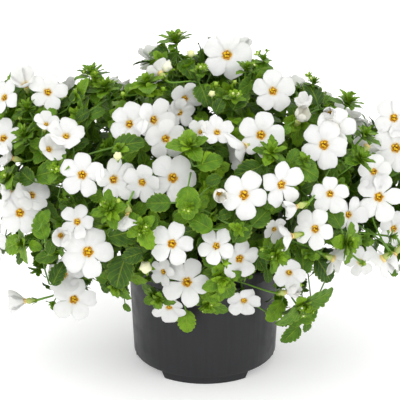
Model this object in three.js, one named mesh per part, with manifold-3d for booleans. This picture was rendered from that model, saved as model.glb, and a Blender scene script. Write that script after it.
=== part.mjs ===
// Potted bacopa: a trailing white balcony flower, in the 10.5 cm nursery pot that it is sold in.
// Millimetres, +Z up. The pot's axis is the Z axis, its feet stand on z = 0, and -Y faces the viewer.

import * as THREE from 'three';
import { mergeVertices } from 'three/addons/utils/BufferGeometryUtils.js';
import Module from 'manifold-3d';

const wasm = await Module();
wasm.setup();
const { Manifold, Mesh: SolidMesh } = wasm;

// The pot and its soil
const FACETS = 24;
const RIM_RADIUS = 52.5;
const POT_HEIGHT = 74;
const LIP_HEIGHT = 8;
const WALL_TOP_RADIUS = 47.1;
const WALL_FOOT_RADIUS = 44.4;
const WALL = 1.4;
const FOOT_HEIGHT = 4.5;
const FOOT_SPREAD = 76;
const FEET = 3;
const DRAIN_HOLES = 4;
const DRAIN_RADIUS = 3.2;
const DRAIN_RING = 26;
const SOIL_LEVEL = 62;
const SOIL_MOUND = 3;
const SOIL_RIPPLE = 0.9;
const EDGE = 1.2;
const FOOT_WIDTH = 7;
const GAP = 0.3;

// The plant's own sizes
const BLADE = 0.6;
const THROAT_DEPTH = 1.2;
const TUBE_RADIUS = 1.5;
const TUBE_LENGTH = 7;
const STEM_FOOT_RADIUS = 1.2;
const STEM_TIP_RADIUS = 0.9;
const CROWN_ROOT_RADIUS = 4;
const CROWN_ROOT_DEPTH = 10;
const ROOT_RING = 25;
const BUNCHES = 8;
const PEDICEL_RADIUS = 0.45;
const CALYX_RADIUS = 1.3;
const PETIOLE_FOOT_RADIUS = 0.4;
const PETIOLE_RADIUS = 0.28;
const STEM_STEPS = 4;
const TIP_SINK = 3;
const PAIR_EVERY = 4;
const PAIR_LENGTH = 15;
const PAIR_LIFT = 25;
const ROSETTE_RADIUS = 7.5;
const ROSETTE_LIFT = 32;
const SPRIG_LENGTH = 18;
const SPRIG_ROOM = 6;
const LEAF_WIDTH = 0.82;
const LEAF_LIFT = 8;
const LEAF_BEND = 0.3;
const PLANT_MIDDLE = [0, 0, 110];
const PLANT_HALF = [130, 90, 110];

// How the photograph sees the plant: its frame is 400 pixels wide, and a pixel at the aim is SCALE mm
const FRAME_MIDDLE = 200;
const SCALE = 0.61;
const DISTANCE = 1150;
const ELEVATION = THREE.MathUtils.degToRad(22);
const AIM = [-3.05, 0, 103.7];
const EYE = [AIM[0], AIM[1] - DISTANCE * Math.cos(ELEVATION), AIM[2] + DISTANCE * Math.sin(ELEVATION)];

// The crown's front, as a depth for each pixel of that frame
const CROWN_DEPTH = 100;
const CROWN_TOP_ROW = 35;
const CROWN_ROWS = 290;
const CROWN_MIDDLE = 195;
const CROWN_HALF_WIDTH = 215;

// The crown's outline in that frame, by hand: column and row, for its top and its underside
const CROWN_TOP = [
  [-30, 96], [-12, 84], [0, 75], [15, 68], [50, 78], [90, 70], [125, 82], [150, 75], [155, 45], [172, 32],
  [190, 45], [205, 35], [227, 28], [250, 50], [262, 60], [285, 72], [310, 80], [335, 92], [355, 112],
  [375, 120], [400, 108], [416, 122], [430, 134],
];
const CROWN_FOOT = [
  [-30, 240], [0, 262], [12, 266], [35, 290], [60, 325], [88, 318], [95, 300], [128, 290], [140, 308],
  [200, 310], [215, 300], [240, 312], [262, 300], [277, 338], [312, 330], [318, 302], [330, 283],
  [345, 265], [370, 275], [400, 277], [416, 262], [430, 240],
];

// The net of side shoots over both sides of the crown, in pixels of that frame
const NET_LEFT = -3;
const NET_TOP = 38;
const NET_STEP = 26;
const NET_COLUMNS = 17;
const NET_ROWS = 12;
const NET_JITTER = 9;
const NET_MARGIN = 9;
const BACK_MARGIN = 18;
const SPRIG_SLIDES = [0, 2, -2, 4, -4, 7, -7, 10];

// Every open bloom that the photograph shows, by hand. Blooms in one row of the list touch each other.
// Each has: column and row of its throat, width in pixels, turn to the right, lift of its face,
// how far it is cupped (degrees), how far it lies behind the crown's front (mm), and its points a petal.
const FRONT_BLOOMS = [
  [[227, 55, 49, 5, 22, 8, 0, 3]],
  [[273, 91, 43, 5, 25, 10, 0, 2]],
  [[129, 124, 42, -18, 28, 12, 0, 2], [154, 120, 44, 30, 15, 13, 0, 2], [166, 139, 42, 15, 5, 8, 8, 2]],
  [[185, 99, 36, 25, 5, 12, 8, 2], [180, 113, 30, 20, 10, 15, 14, 1]],
  [[82, 175, 45, -8, 18, 8, 0, 2], [117, 180, 46, 33, 15, 14, 0, 2], [145, 183, 38, -10, 5, 12, 9, 1],
    [173, 178, 47, 5, 20, 5, 0, 2]],
  [[187, 282, 48, -10, 25, 8, 0, 3], [172, 244, 44, 0, 18, 5, 0, 2], [216, 246, 38, -18, 28, 10, 0, 2],
    [163, 272, 28, -30, 10, 10, 8, 1]],
  [[88, 252, 53, -3, 18, 4, 0, 3], [58, 234, 26, 10, 15, 35, 2, 1], [84, 216, 36, -10, 30, 12, 7, 1]],
  [[217, 132, 35, 8, 50, 18, 0, 2], [197, 132, 27, -40, 20, 20, 4, 1]],
  [[244, 195, 48, 0, 18, 5, 0, 3], [210, 193, 23, 10, 5, 45, 0, 1]],
  [[324, 145, 48, 0, 20, 5, 0, 3], [335, 128, 40, 10, 8, 8, 6, 2], [330, 113, 21, -10, 15, 48, 2, 1]],
  [[379, 197, 48, 0, 20, 8, 0, 3], [349, 215, 40, 33, 12, 14, 0, 2], [374, 172, 36, 10, 5, 12, 8, 1],
    [415, 196, 42, 50, 15, 10, 4, 2]],
  [[315, 229, 42, -25, 20, 12, 0, 2], [285, 238, 34, -75, -5, 24, 0, 2], [266, 226, 28, 20, 0, 18, 4, 1]],
  [[282, 185, 47, 28, 10, 10, 0, 2], [296, 207, 25, -70, -10, 34, 0, 1]],
  [[261, 135, 46, 5, 22, 10, 0, 2], [239, 150, 42, -72, -15, 10, 0, 2]],
  [[160, 73, 32, -150, 20, 18, 0, 1]],
  [[48, 92, 41, 10, 36, 14, 0, 2], [20, 83, 32, -20, 60, 34, 0, 2], [-4, 102, 38, -40, 35, 12, 0, 2]],
  [[66, 136, 39, 10, 58, 22, 0, 2], [42, 155, 31, 38, 30, 28, 0, 2], [46, 121, 27, 30, 58, 22, 6, 1]],
  [[3, 138, 42, -25, 42, 14, 0, 2], [11, 158, 28, -78, 20, 28, 0, 1]],
  [[20, 213, 43, 5, 20, 8, 0, 2], [32, 195, 37, 22, 38, 14, 3, 2], [11, 193, 28, -78, -8, 24, 2, 1],
    [-6, 240, 44, -40, 10, 10, 0, 2]],
  [[74, 300, 44, 5, 8, 8, 0, 2], [64, 275, 38, 20, 10, 12, 8, 1], [41, 261, 42, 172, 30, 10, 0, 2]],
  [[24, 301, 30, -84, 0, 34, 0, 2]],
  [[129, 216, 39, 10, -62, 10, 2, 2]],
  [[169, 308, 35, -5, -28, 14, 0, 2]],
  [[240, 259, 42, 22, 2, 8, 8, 2]],
  [[244, 301, 34, 4, -12, 14, 0, 2]],
  [[289, 273, 36, -8, -4, 18, 0, 2], [288, 292, 23, 60, 20, 42, 0, 1]],
  [[334, 259, 36, 110, -30, 14, 0, 2]],
  [[382, 259, 40, -110, -42, 14, 0, 2], [397, 254, 31, -60, -48, 28, 0, 1],
    [360, 262, 30, -165, -15, 10, 0, 1]],
  [[394, 229, 35, 20, 10, 12, 5, 2]],
  [[396, 148, 49, 0, 20, 10, 0, 3], [394, 118, 41, 5, 25, 8, 12, 2], [363, 150, 32, 160, 25, 18, 0, 1]],
  [[330, 194, 39, -5, 8, 14, 0, 2]],
  [[304, 108, 25, -20, 72, 36, 0, 1], [297, 127, 26, 30, 52, 46, 0, 1]],
];

// The leafy shoot tips that it shows, by hand: column and row of each
const FRONT_TIPS = [
  [176, 44], [93, 77], [30, 112], [106, 92], [148, 86], [28, 138], [11, 178], [190, 148], [60, 170],
  [199, 74], [246, 72], [263, 62], [346, 106], [270, 155], [362, 138], [357, 161], [304, 162], [25, 243],
  [111, 211], [160, 297], [190, 207], [222, 277], [345, 243], [302, 320], [275, 254], [388, 236],
  [208, 301], [238, 229], [119, 284], [142, 228], [313, 86], [120, 150], [234, 100], [-6, 206], [408, 168],
];

// The large leaves that it shows, by hand: column and row of the middle, length in pixels, and the
// direction in which the leaf points there (degrees, 90 is up)
const FRONT_LEAVES = [
  [12, 115, 34, 185], [44, 115, 26, 15], [81, 94, 28, 50], [52, 172, 38, 5], [26, 176, 24, 150],
  [41, 225, 30, 110], [14, 245, 28, 195], [57, 274, 26, 60], [158, 52, 22, 150], [187, 68, 26, 290],
  [174, 87, 30, 100], [128, 144, 32, 10], [204, 94, 27, 285], [239, 98, 30, 70], [264, 68, 26, 40],
  [210, 162, 28, 20], [248, 171, 28, 200], [188, 203, 34, 270], [158, 203, 26, 180], [200, 223, 28, 150],
  [241, 230, 28, 60], [272, 197, 26, 240], [261, 217, 26, 45], [313, 92, 32, 93], [306, 170, 32, 340],
  [334, 216, 28, 120], [156, 238, 30, 215], [126, 233, 38, 15], [121, 272, 36, 250], [187, 319, 26, 270],
  [303, 261, 27, 90], [275, 311, 26, 240], [308, 314, 24, 20], [290, 333, 25, 250], [324, 270, 30, 310],
  [212, 293, 28, 330],
];

// The side that the photograph doesn't show carries its own blooms and shoots, in jittered rows
const BACK_COLUMNS = 4;
const BACK_ROWS = 3;
const BACK_CLUSTER = 2;
const BACK_LEFT = 45;
const BACK_WIDTH = 310;
const BACK_TOP = 82;
const BACK_STEP = 78;
const BACK_TIP_COLUMNS = 4;
const BACK_TIP_ROWS = 3;
const BACK_TIP_LEFT = 20;
const BACK_TIP_WIDTH = 360;
const BACK_TIP_TOP = 70;
const BACK_TIP_STEP = 82;

// How far a piece may slide along the line of sight until it is clear of its neighbours
const SLIDES = [0, 1.5, -1.5, 3, -3, 4.5, -4.5, 6, -6, 8, -8, 10, -10, 12, -12, 15, 18];
const LEAF_SLIDES = [2, 4, 6, 8, 0, 10, 12, -2, 15, -4];
const CLUSTER_PULLS = [0, 3, 6, 9];
const SHRINKS = [1, 0.9, 0.8];
const STEM_RISES = [1, 0.8, 1.2, 0.6, 1.4];
const STALK_TRIES = 8;
const CLEARANCE = 0.2;
const TOUCH = 0.3;
const SLIVER = 0.03;

// A fifth of a bloom's outline, from the cut between two petals: turn from the petal's middle, and reach
const PETAL_OUTLINES = {
  1: [[-36, 0.62], [0, 1]],
  2: [[-36, 0.5], [-17, 0.96], [17, 0.96]],
  3: [[-36, 0.5], [-25, 0.88], [0, 1], [25, 0.88]],
};

// One side of a leaf's outline: its shoulder, its tooth and the cut behind the tooth, as parts of its size
const LEAF_SIDE = [[0.3, 0.38], [0.66, 0.46], [0.69, 0.32]];
const PAIR_SIDE = [[0.45, 0.5]];

const MATERIALS = {
  plastic: new THREE.MeshStandardMaterial({ color: '#3d3d40', roughness: 0.55, metalness: 0 }),
  soil: new THREE.MeshStandardMaterial({ color: '#2c2018', roughness: 1, metalness: 0 }),
  green: new THREE.MeshStandardMaterial({ color: '#4a7a24', roughness: 0.6, metalness: 0 }),
  petal: new THREE.MeshStandardMaterial({ color: '#f5f4f0', roughness: 0.7, metalness: 0 }),
};

// Vectors as plain lists
const add = (a, b) => a.map((value, i) => value + b[i]);
const subtract = (a, b) => a.map((value, i) => value - b[i]);
const times = (a, k) => a.map((value) => value * k);
const dot = (a, b) => a[0] * b[0] + a[1] * b[1] + a[2] * b[2];
const cross = (a, b) => [a[1] * b[2] - a[2] * b[1], a[2] * b[0] - a[0] * b[2], a[0] * b[1] - a[1] * b[0]];
const length = (a) => Math.sqrt(dot(a, a));
const unit = (a) => times(a, 1 / length(a));
const mix = (a, b, k) => add(times(a, 1 - k), times(b, k));
const radians = (degrees) => (degrees * Math.PI) / 180;

// A number from 0 to 1 that depends on its whole-number keys alone
function draw(...keys) {
  let hash = 2166136261;
  for (const key of keys) {
    hash = Math.imul(hash ^ key, 16777619) >>> 0;
    hash = Math.imul(hash ^ (hash >>> 13), 1540483477) >>> 0;
  }
  return ((hash ^ (hash >>> 15)) >>> 0) / 4294967296;
}

const spread = (low, high, ...keys) => low + (high - low) * draw(...keys);

// The point at depth y that the photograph shows at a pixel, and the size of a pixel there
function spot(column, row, y) {
  const across = ((column - FRAME_MIDDLE) * SCALE) / DISTANCE;
  const upward = ((FRAME_MIDDLE - row) * SCALE) / DISTANCE;
  const ray = [
    across,
    Math.cos(ELEVATION) + upward * Math.sin(ELEVATION),
    -Math.sin(ELEVATION) + upward * Math.cos(ELEVATION),
  ];
  const reach = (y - EYE[1]) / ray[1];
  return { point: add(EYE, times(ray, reach)), pixel: (SCALE * reach) / DISTANCE };
}

// The pixel at which the photograph shows a point
function seenAt(at) {
  const ray = subtract(at, EYE);
  const depth = ray[1] * Math.cos(ELEVATION) - ray[2] * Math.sin(ELEVATION);
  const rise = ray[1] * Math.sin(ELEVATION) + ray[2] * Math.cos(ELEVATION);
  const pixel = (SCALE * depth) / DISTANCE;
  return { column: FRAME_MIDDLE + ray[0] / pixel, row: FRAME_MIDDLE - rise / pixel, pixel };
}

function crownFront(column, row) {
  const down = Math.min(1, Math.max(0, (row - CROWN_TOP_ROW) / CROWN_ROWS));
  const aside = Math.abs(column - CROWN_MIDDLE) / CROWN_HALF_WIDTH;
  return -CROWN_DEPTH * Math.sin(2.7 * down ** 1.25) * Math.sqrt(Math.max(0.05, 1 - aside ** 2.4));
}

// The row of a hand-drawn outline at a column
function between(line, column) {
  const i = Math.max(1, line.findIndex(([end]) => end > column));
  const [[c0, r0], [c1, r1]] = [line[i - 1], line[i]];
  return r0 + ((r1 - r0) * (column - c0)) / (c1 - c0);
}

// The direction out of the plant at a point of its foliage
const outwardAt = (at) => unit(at.map((value, i) => (value - PLANT_MIDDLE[i]) / PLANT_HALF[i]));

// The direction in which a piece faces, with no turn towards the viewer
const facing = (turn, lift) => [
  Math.sin(radians(turn)) * Math.cos(radians(lift)),
  -Math.cos(radians(turn)) * Math.cos(radians(lift)),
  Math.sin(radians(lift)),
];

// Three axes: out along the given direction, and up as near to the second one as it can be
function axes(out, up) {
  const across = unit(cross(up, out));
  return { across, up: cross(out, across), out };
}

function placed(frame, origin, points) {
  return points.map(([x, y, z]) => {
    const flat = add(times(frame.across, x), times(frame.up, y));
    return add(add(origin, flat), times(frame.out, z));
  });
}

function solid(points, faces) {
  return new Manifold(
    new SolidMesh({
      numProp: 3,
      vertProperties: new Float32Array(points.flat()),
      triVerts: new Uint32Array(faces.flat()),
    })
  );
}

// A blade, such as a leaf: one outline, and one way to cut it into triangles for both of its faces
function blade(outline, triangles, thickness, frame, origin) {
  const count = outline.length;
  const points = [thickness / 2, -thickness / 2].flatMap((side) =>
    outline.map(([x, y, z]) => [x, y, z + side])
  );
  const faces = [...triangles];
  for (const [a, b, c] of triangles) faces.push([b + count, a + count, c + count]);
  for (let i = 0; i < count; i += 1) {
    const next = (i + 1) % count;
    faces.push([i + count, next + count, next], [i + count, next, i]);
  }
  return solid(placed(frame, origin, points), faces);
}

// The triangles of a leaf whose outline runs from one side of its base round the tip to the other side
function leafTriangles(first, last, loop) {
  const triangles = [];
  for (let [low, high] = [first, last]; low < high - 2; low += 1, high -= 1) {
    triangles.push([low, low + 1, (high - 1) % loop], [low, (high - 1) % loop, high % loop]);
  }
  const tip = (first + last) / 2;
  triangles.push([tip - 1, tip, (tip + 1) % loop]);
  return triangles;
}

// A slim rod along a path, with a radius at each of its points
function rod(path, radii, sides, reference) {
  const points = [];
  const faces = [];
  path.forEach((point, i) => {
    const before = path[Math.max(0, i - 1)];
    const after = path[Math.min(path.length - 1, i + 1)];
    const along = unit(subtract(after, before));
    const first = unit(subtract(reference, times(along, dot(reference, along))));
    const second = cross(along, first);
    for (let k = 0; k < sides; k += 1) {
      const angle = (2 * Math.PI * k) / sides;
      const radial = add(times(first, Math.cos(angle)), times(second, Math.sin(angle)));
      points.push(add(point, times(radial, radii[i])));
    }
  });
  const last = (path.length - 1) * sides;
  for (let k = 0; k < sides; k += 1) {
    const next = (k + 1) % sides;
    for (let ring = 0; ring < last; ring += sides) {
      const [near, far] = [ring + k, ring + sides + next];
      faces.push([near, ring + next, far], [near, far, ring + sides + k]);
    }
    if (k > 0 && next > 0) faces.push([0, next, k], [last, last + k, last + next]);
  }
  return solid(points, faces);
}

function fromGeometry(geometry) {
  const bare = geometry.index ? geometry.toNonIndexed() : geometry.clone();
  bare.deleteAttribute('normal');
  bare.deleteAttribute('uv');
  const merged = mergeVertices(bare, 1e-4);
  return new Manifold(
    new SolidMesh({
      numProp: 3,
      vertProperties: new Float32Array(merged.attributes.position.array),
      triVerts: new Uint32Array(merged.index.array),
    })
  );
}

const turned = (profile, facets) =>
  new THREE.LatheGeometry(profile.map(([r, z]) => new THREE.Vector2(r, z)), facets).rotateX(Math.PI / 2);

function post(radius, low, high, sides, x, y) {
  const geometry = new THREE.CylinderGeometry(radius, radius, high - low, sides);
  geometry.rotateX(Math.PI / 2);
  geometry.translate(x, y, (low + high) / 2);
  return fromGeometry(geometry);
}

// The pot: a tapered wall with a lip round its rim, on three feet, with drain holes in its floor
function makePot() {
  const lipFoot = POT_HEIGHT - LIP_HEIGHT;
  const profile = [
    [0, FOOT_HEIGHT],
    [WALL_FOOT_RADIUS - EDGE, FOOT_HEIGHT],
    [WALL_FOOT_RADIUS, FOOT_HEIGHT + EDGE],
    [WALL_TOP_RADIUS, lipFoot],
    [RIM_RADIUS - 1, lipFoot],
    [RIM_RADIUS, POT_HEIGHT - 1],
    [RIM_RADIUS - 1, POT_HEIGHT],
    [RIM_RADIUS - WALL - 0.4, POT_HEIGHT - 0.6],
    [RIM_RADIUS - WALL - EDGE, lipFoot + WALL],
    [WALL_TOP_RADIUS - WALL, lipFoot - WALL],
    [WALL_FOOT_RADIUS - WALL, FOOT_HEIGHT + WALL],
    [0, FOOT_HEIGHT + WALL],
  ];
  let pot = fromGeometry(turned(profile, FACETS));
  for (let i = 0; i < FEET; i += 1) {
    const middle = -Math.PI / 2 + (2 * Math.PI * i) / FEET;
    const half = radians(FOOT_SPREAD / 2);
    const outer = WALL_FOOT_RADIUS - EDGE;
    const outline = new THREE.Shape();
    outline.absarc(0, 0, outer, middle - half, middle + half, false);
    outline.absarc(0, 0, outer - FOOT_WIDTH, middle + half, middle - half, true);
    const foot = new THREE.ExtrudeGeometry(outline, {
      depth: FOOT_HEIGHT + WALL / 2,
      bevelEnabled: false,
      curveSegments: 5,
    });
    pot = pot.add(fromGeometry(foot));
  }
  for (let i = 0; i < DRAIN_HOLES; i += 1) {
    const angle = (2 * Math.PI * (i + 0.5)) / DRAIN_HOLES;
    const [x, y] = [DRAIN_RING * Math.cos(angle), DRAIN_RING * Math.sin(angle)];
    pot = pot.subtract(post(DRAIN_RADIUS, 0, 2 * FOOT_HEIGHT, 6, x, y));
  }
  return pot;
}

// The soil: it fills the pot to a low uneven mound, and the bunches of stems stand in plain holes in it
function makeSoil(roots) {
  const side = WALL_TOP_RADIUS - WALL - 0.6;
  const profile = [
    [0, FOOT_HEIGHT + WALL + GAP],
    [WALL_FOOT_RADIUS - WALL - 0.5, FOOT_HEIGHT + WALL + GAP],
    [side, SOIL_LEVEL],
    [side * 0.66, SOIL_LEVEL + SOIL_MOUND * 0.6],
    [side * 0.33, SOIL_LEVEL + SOIL_MOUND * 0.9],
    [0, SOIL_LEVEL + SOIL_MOUND],
  ];
  const geometry = turned(profile, FACETS);
  const position = geometry.attributes.position;
  for (let i = 0; i < position.count; i += 1) {
    const [x, y, z] = [position.getX(i), position.getY(i), position.getZ(i)];
    const radius = Math.hypot(x, y);
    if (z > SOIL_LEVEL && radius > 1) {
      const round = Math.sin(3 * Math.atan2(y, x) + radius / 9);
      position.setZ(i, z + SOIL_RIPPLE * round * Math.cos(radius / 7));
    }
  }
  let soil = fromGeometry(geometry);
  for (const [x, y] of roots) {
    soil = soil.subtract(post(CROWN_ROOT_RADIUS + GAP, rootFoot() - GAP, POT_HEIGHT + LIP_HEIGHT, 6, x, y));
  }
  return soil;
}

const rootFoot = () => SOIL_LEVEL - CROWN_ROOT_DEPTH;

// What stands in the way: every finished piece, with its node and, if it is a stem, which one
const standing = [];

function stand(body, owner, stem = null) {
  standing.push({ body, owner, stem, box: body.boundingBox() });
}

const apart = (a, b) => [0, 1, 2].some((i) => a.min[i] > b.max[i] || a.max[i] < b.min[i]);

// Whether a body crosses any finished piece but those that it may touch
function crosses(body, mayTouch) {
  const box = body.boundingBox();
  return standing.some(
    (piece) => !apart(box, piece.box) && !mayTouch(piece) && body.intersect(piece.body).volume() > 1e-5
  );
}

// Whether a body reaches well into one of its own group
function touches(body, ofGroup) {
  const box = body.boundingBox();
  return standing.some(
    (piece) => ofGroup(piece) && !apart(box, piece.box) && body.intersect(piece.body).volume() > TOUCH
  );
}

// A bloom: five rounded petals round a throat, with a short tube behind them
function bloomBody(bloom, at, grow) {
  const { radius, cup, petalPoints, roll } = bloom;
  const outline = [];
  for (let petal = 0; petal < 5; petal += 1) {
    for (const [offset, reach] of PETAL_OUTLINES[petalPoints]) {
      const angle = radians(roll + 72 * petal + offset);
      const flat = (radius + grow) * reach * Math.cos(radians(cup));
      const rise = radius * reach * Math.sin(radians(cup));
      outline.push([flat * Math.cos(angle), flat * Math.sin(angle), rise]);
    }
  }
  const count = outline.length;
  const half = BLADE / 2 / Math.cos(radians(cup)) + grow;
  const points = [...outline.map(([x, y, z]) => [x, y, z + half]), [0, 0, half - THROAT_DEPTH]];
  points.push(...outline.map(([x, y, z]) => [x, y, z - half]));
  const ring = points.length;
  for (let k = 0; k < 3; k += 1) {
    const angle = radians(roll + 120 * k);
    const wide = TUBE_RADIUS + grow;
    points.push([wide * Math.cos(angle), wide * Math.sin(angle), -half - THROAT_DEPTH - 0.4]);
  }
  points.push([0, 0, -TUBE_LENGTH - grow]);
  const faces = [];
  const nearest = (i) => Math.round((3 * (i + 0.5)) / count) % 3;
  for (let i = 0; i < count; i += 1) {
    const next = (i + 1) % count;
    const [under, underNext] = [i + count + 1, next + count + 1];
    faces.push([i, next, count], [under, underNext, next], [under, next, i]);
    faces.push([underNext, under, ring + nearest(i)]);
    if (nearest(i) !== nearest(next)) faces.push([underNext, ring + nearest(i), ring + nearest(next)]);
  }
  for (let k = 0; k < 3; k += 1) faces.push([ring + ((k + 1) % 3), ring + k, ring + 3]);
  return solid(placed(axes(bloom.face, bloom.upward), at, points), faces);
}

// The blooms, front and back, in the clusters that touch
function bloomClusters() {
  const clusters = FRONT_BLOOMS.map((cluster, c) =>
    cluster.map(([column, row, wide, turn, lift, cup, back, petalPoints], i) => ({
      column, row, wide, turn, lift, cup, back, petalPoints, side: 1, roll: spread(-20, 20, 1, c, i),
    }))
  );
  for (let i = 0; i < BACK_COLUMNS; i += 1) {
    for (let j = 0; j < BACK_ROWS; j += 1) {
      const column = BACK_LEFT + (BACK_WIDTH * i) / (BACK_COLUMNS - 1) + spread(-14, 14, 2, i, j);
      const row = BACK_TOP + BACK_STEP * j + 24 * (i % 2) + spread(-8, 8, 3, i, j);
      const start = spread(0, 360, 4, i, j);
      clusters.push(
        Array.from({ length: BACK_CLUSTER }, (_, k) => ({
          column: column + 24 * Math.cos(radians(start + 120 * k)),
          row: row + 22 * Math.sin(radians(start + 120 * k)),
          wide: spread(38, 48, 5, i, j, k),
          turn: (column - FRAME_MIDDLE) * 0.22 + spread(-22, 22, 6, i, j, k),
          lift: 55 - row * 0.2 + spread(-15, 15, 7, i, j, k),
          cup: spread(4, 16, 8, i, j, k),
          back: 0,
          petalPoints: 2,
          side: -1,
          roll: spread(-36, 36, 9, i, j, k),
        }))
      );
    }
  }
  for (const bloom of clusters.flat()) {
    const face = facing(bloom.turn, bloom.lift);
    bloom.face = [face[0], face[1] * bloom.side, face[2]];
    bloom.upward = Math.abs(bloom.face[2]) > 0.9 ? [0, 1, 0] : [0, 0, 1];
  }
  return clusters;
}

// Where a piece of the list lies, slid back along the line of sight. The back side mirrors the front, and
// is lower where it would stand up behind the crown's outline.
function lies(piece, slide) {
  const y = crownFront(piece.column, piece.row) + piece.back + slide;
  const { point, pixel } = spot(piece.column, piece.row, y);
  if (piece.side > 0) return { at: point, pixel };
  const at = [point[0], -point[1], point[2]];
  const seen = seenAt(at);
  const over = between(CROWN_TOP, seen.column) + BACK_MARGIN - seen.row;
  at[2] -= (Math.max(0, over) * seen.pixel) / Math.cos(ELEVATION);
  return { at, pixel };
}

// The shoot tips, front and back, in order round the pot
function tipsRoundThePot() {
  const tips = FRONT_TIPS.map(([column, row]) => ({ column, row, back: TIP_SINK, side: 1 }));
  const step = BACK_TIP_WIDTH / (BACK_TIP_COLUMNS - 1);
  for (let i = 0; i < BACK_TIP_COLUMNS; i += 1) {
    for (let j = 0; j < BACK_TIP_ROWS; j += 1) {
      const column = BACK_TIP_LEFT + step * i + spread(-14, 14, 11, i, j);
      const row = BACK_TIP_TOP + BACK_TIP_STEP * j + spread(-12, 12, 12, i, j);
      tips.push({ column, row, back: TIP_SINK, side: -1 });
    }
  }
  for (const tip of tips) tip.at = lies(tip, 0).at;
  return tips.sort((a, b) => Math.atan2(a.at[1], a.at[0]) - Math.atan2(b.at[1], b.at[0]));
}

// A stem's way from its hole in the soil, up and over to its tip
function stemWay(foot, tip, rise) {
  const outward = unit([tip[0], tip[1], 0]);
  const droop = radians(Math.min(80, Math.max(-55, (tip[2] - 97) * 0.9)));
  const heading = add(times(outward, Math.cos(droop)), [0, 0, Math.sin(droop)]);
  const far = length(subtract(tip, foot));
  const up = (Math.max(tip[2], 118) - foot[2]) * 0.6 * rise;
  const first = add(add(foot, times(outward, far * 0.12)), [0, 0, up]);
  const second = subtract(tip, times(heading, far * 0.35));
  const ends = [foot, first, second, tip].map((point) => new THREE.Vector3(...point));
  const curve = new THREE.CubicBezierCurve3(...ends);
  const sideways = [-outward[1], outward[0], 0];
  return { path: curve.getPoints(STEM_STEPS).map((p) => p.toArray()), heading, sideways };
}

// The places along a stem where something can grow from it
function growingPlaces(stem) {
  const places = [];
  for (let i = 1; i < STEM_STEPS; i += 1) {
    for (const part of [0.1, 0.4, 0.7]) {
      places.push({ from: mix(stem.path[i], stem.path[i + 1], part), stem });
    }
  }
  return places;
}

// The places on the stems that suit a stalk to a point best: near it, and behind the way it arrives
function placesNear(stems, point, arrive) {
  const places = stems.flatMap(growingPlaces);
  for (const place of places) {
    const way = subtract(point, place.from);
    place.cost = length(way) * 1.5 - dot(way, arrive);
  }
  return places.sort((a, b) => a.cost - b.cost).slice(0, STALK_TRIES);
}

// A stalk from a stem to a bloom or a leaf
function stalk(from, to, radii) {
  const line = subtract(to, from).map(Math.abs);
  const reference = [0, 0, 0];
  reference[line.indexOf(Math.min(...line))] = 1;
  return (grow) => rod([from, to], radii.map((radius) => radius + grow), 3, reference);
}

// Each bunch of stems shares one hole in the soil, on the side of the pot that its tips are on
function planStems(tips) {
  const perBunch = Math.ceil(tips.length / BUNCHES);
  const stems = [];
  const roots = [];
  for (let bunch = 0; bunch < BUNCHES; bunch += 1) {
    const mine = tips.slice(bunch * perBunch, (bunch + 1) * perBunch);
    const sum = mine.reduce((total, tip) => add(total, unit([tip.at[0], tip.at[1], 0])), [0, 0, 0]);
    const root = times(unit(sum), ROOT_RING);
    roots.push(root);
    const bearing = (tip) => Math.atan2(tip.at[1] - root[1], tip.at[0] - root[0]);
    mine.sort((a, b) => bearing(a) - bearing(b));
    mine.forEach((tip, i) => {
      const angle = bearing(mine[0]) + (2 * Math.PI * i) / mine.length;
      const lean = times([Math.cos(angle), Math.sin(angle), 0], CROWN_ROOT_RADIUS - STEM_FOOT_RADIUS);
      stems.push({ tip: tip.at, bunch, foot: add(root, add(lean, [0, 0, SOIL_LEVEL + SOIL_MOUND])) });
    });
  }
  return { stems, roots };
}

function growStems(stems, roots) {
  roots.forEach((root, bunch) => {
    const column = [rootFoot(), SOIL_LEVEL + SOIL_MOUND + 3].map((z) => [root[0], root[1], z]);
    stand(rod(column, [CROWN_ROOT_RADIUS - 0.6, CROWN_ROOT_RADIUS], 6, [0, 1, 0]), bunch);
  });
  const radii = Array.from({ length: STEM_STEPS + 1 }, (_, i) => {
    return STEM_FOOT_RADIUS + ((STEM_TIP_RADIUS - STEM_FOOT_RADIUS) * i) / STEM_STEPS;
  });
  return stems.filter((stem) =>
    STEM_RISES.some((rise) => {
      const way = stemWay(stem.foot, stem.tip, rise);
      const body = (grow) => rod(way.path, radii.map((radius) => radius + grow), 3, way.sideways);
      if (crosses(body(CLEARANCE), (piece) => piece.owner === stem.bunch)) return false;
      Object.assign(stem, way);
      stand(body(0), stem.bunch, stem);
      return true;
    })
  );
}

// Seats a bloom with its pedicel, slid until it is clear of all but its own group, which it touches
function seatBloom(bloom, owner, neighbour, stems) {
  const ofGroup = (piece) => piece.owner === owner;
  for (const shrink of SHRINKS) {
    for (const pull of neighbour ? CLUSTER_PULLS : [0]) {
      for (const slide of SLIDES) {
        const seat = neighbour ? pulledIn(bloom, neighbour, pull) : bloom;
        const { at, pixel } = lies(seat, slide);
        bloom.radius = (shrink * bloom.wide * pixel) / 2;
        const body = bloomBody(bloom, at, 0);
        if (neighbour && !touches(body, ofGroup)) continue;
        if (crosses(bloomBody(bloom, at, CLEARANCE), ofGroup)) continue;
        if (neighbour && bloom.petalPoints === 1) {
          stand(body, owner);
          return seat;
        }
        const end = subtract(at, times(bloom.face, TUBE_LENGTH + GAP + 0.1));
        for (const { from, stem } of placesNear(stems, end, bloom.face)) {
          const pedicel = stalk(from, end, [PEDICEL_RADIUS, CALYX_RADIUS]);
          if (body.intersect(pedicel(0)).volume() > 1e-5) continue;
          if (crosses(pedicel(CLEARANCE / 2), (piece) => piece.stem === stem)) continue;
          stand(pedicel(0), stem.bunch);
          stand(body, owner);
          return seat;
        }
      }
    }
  }
  return null;
}

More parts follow.
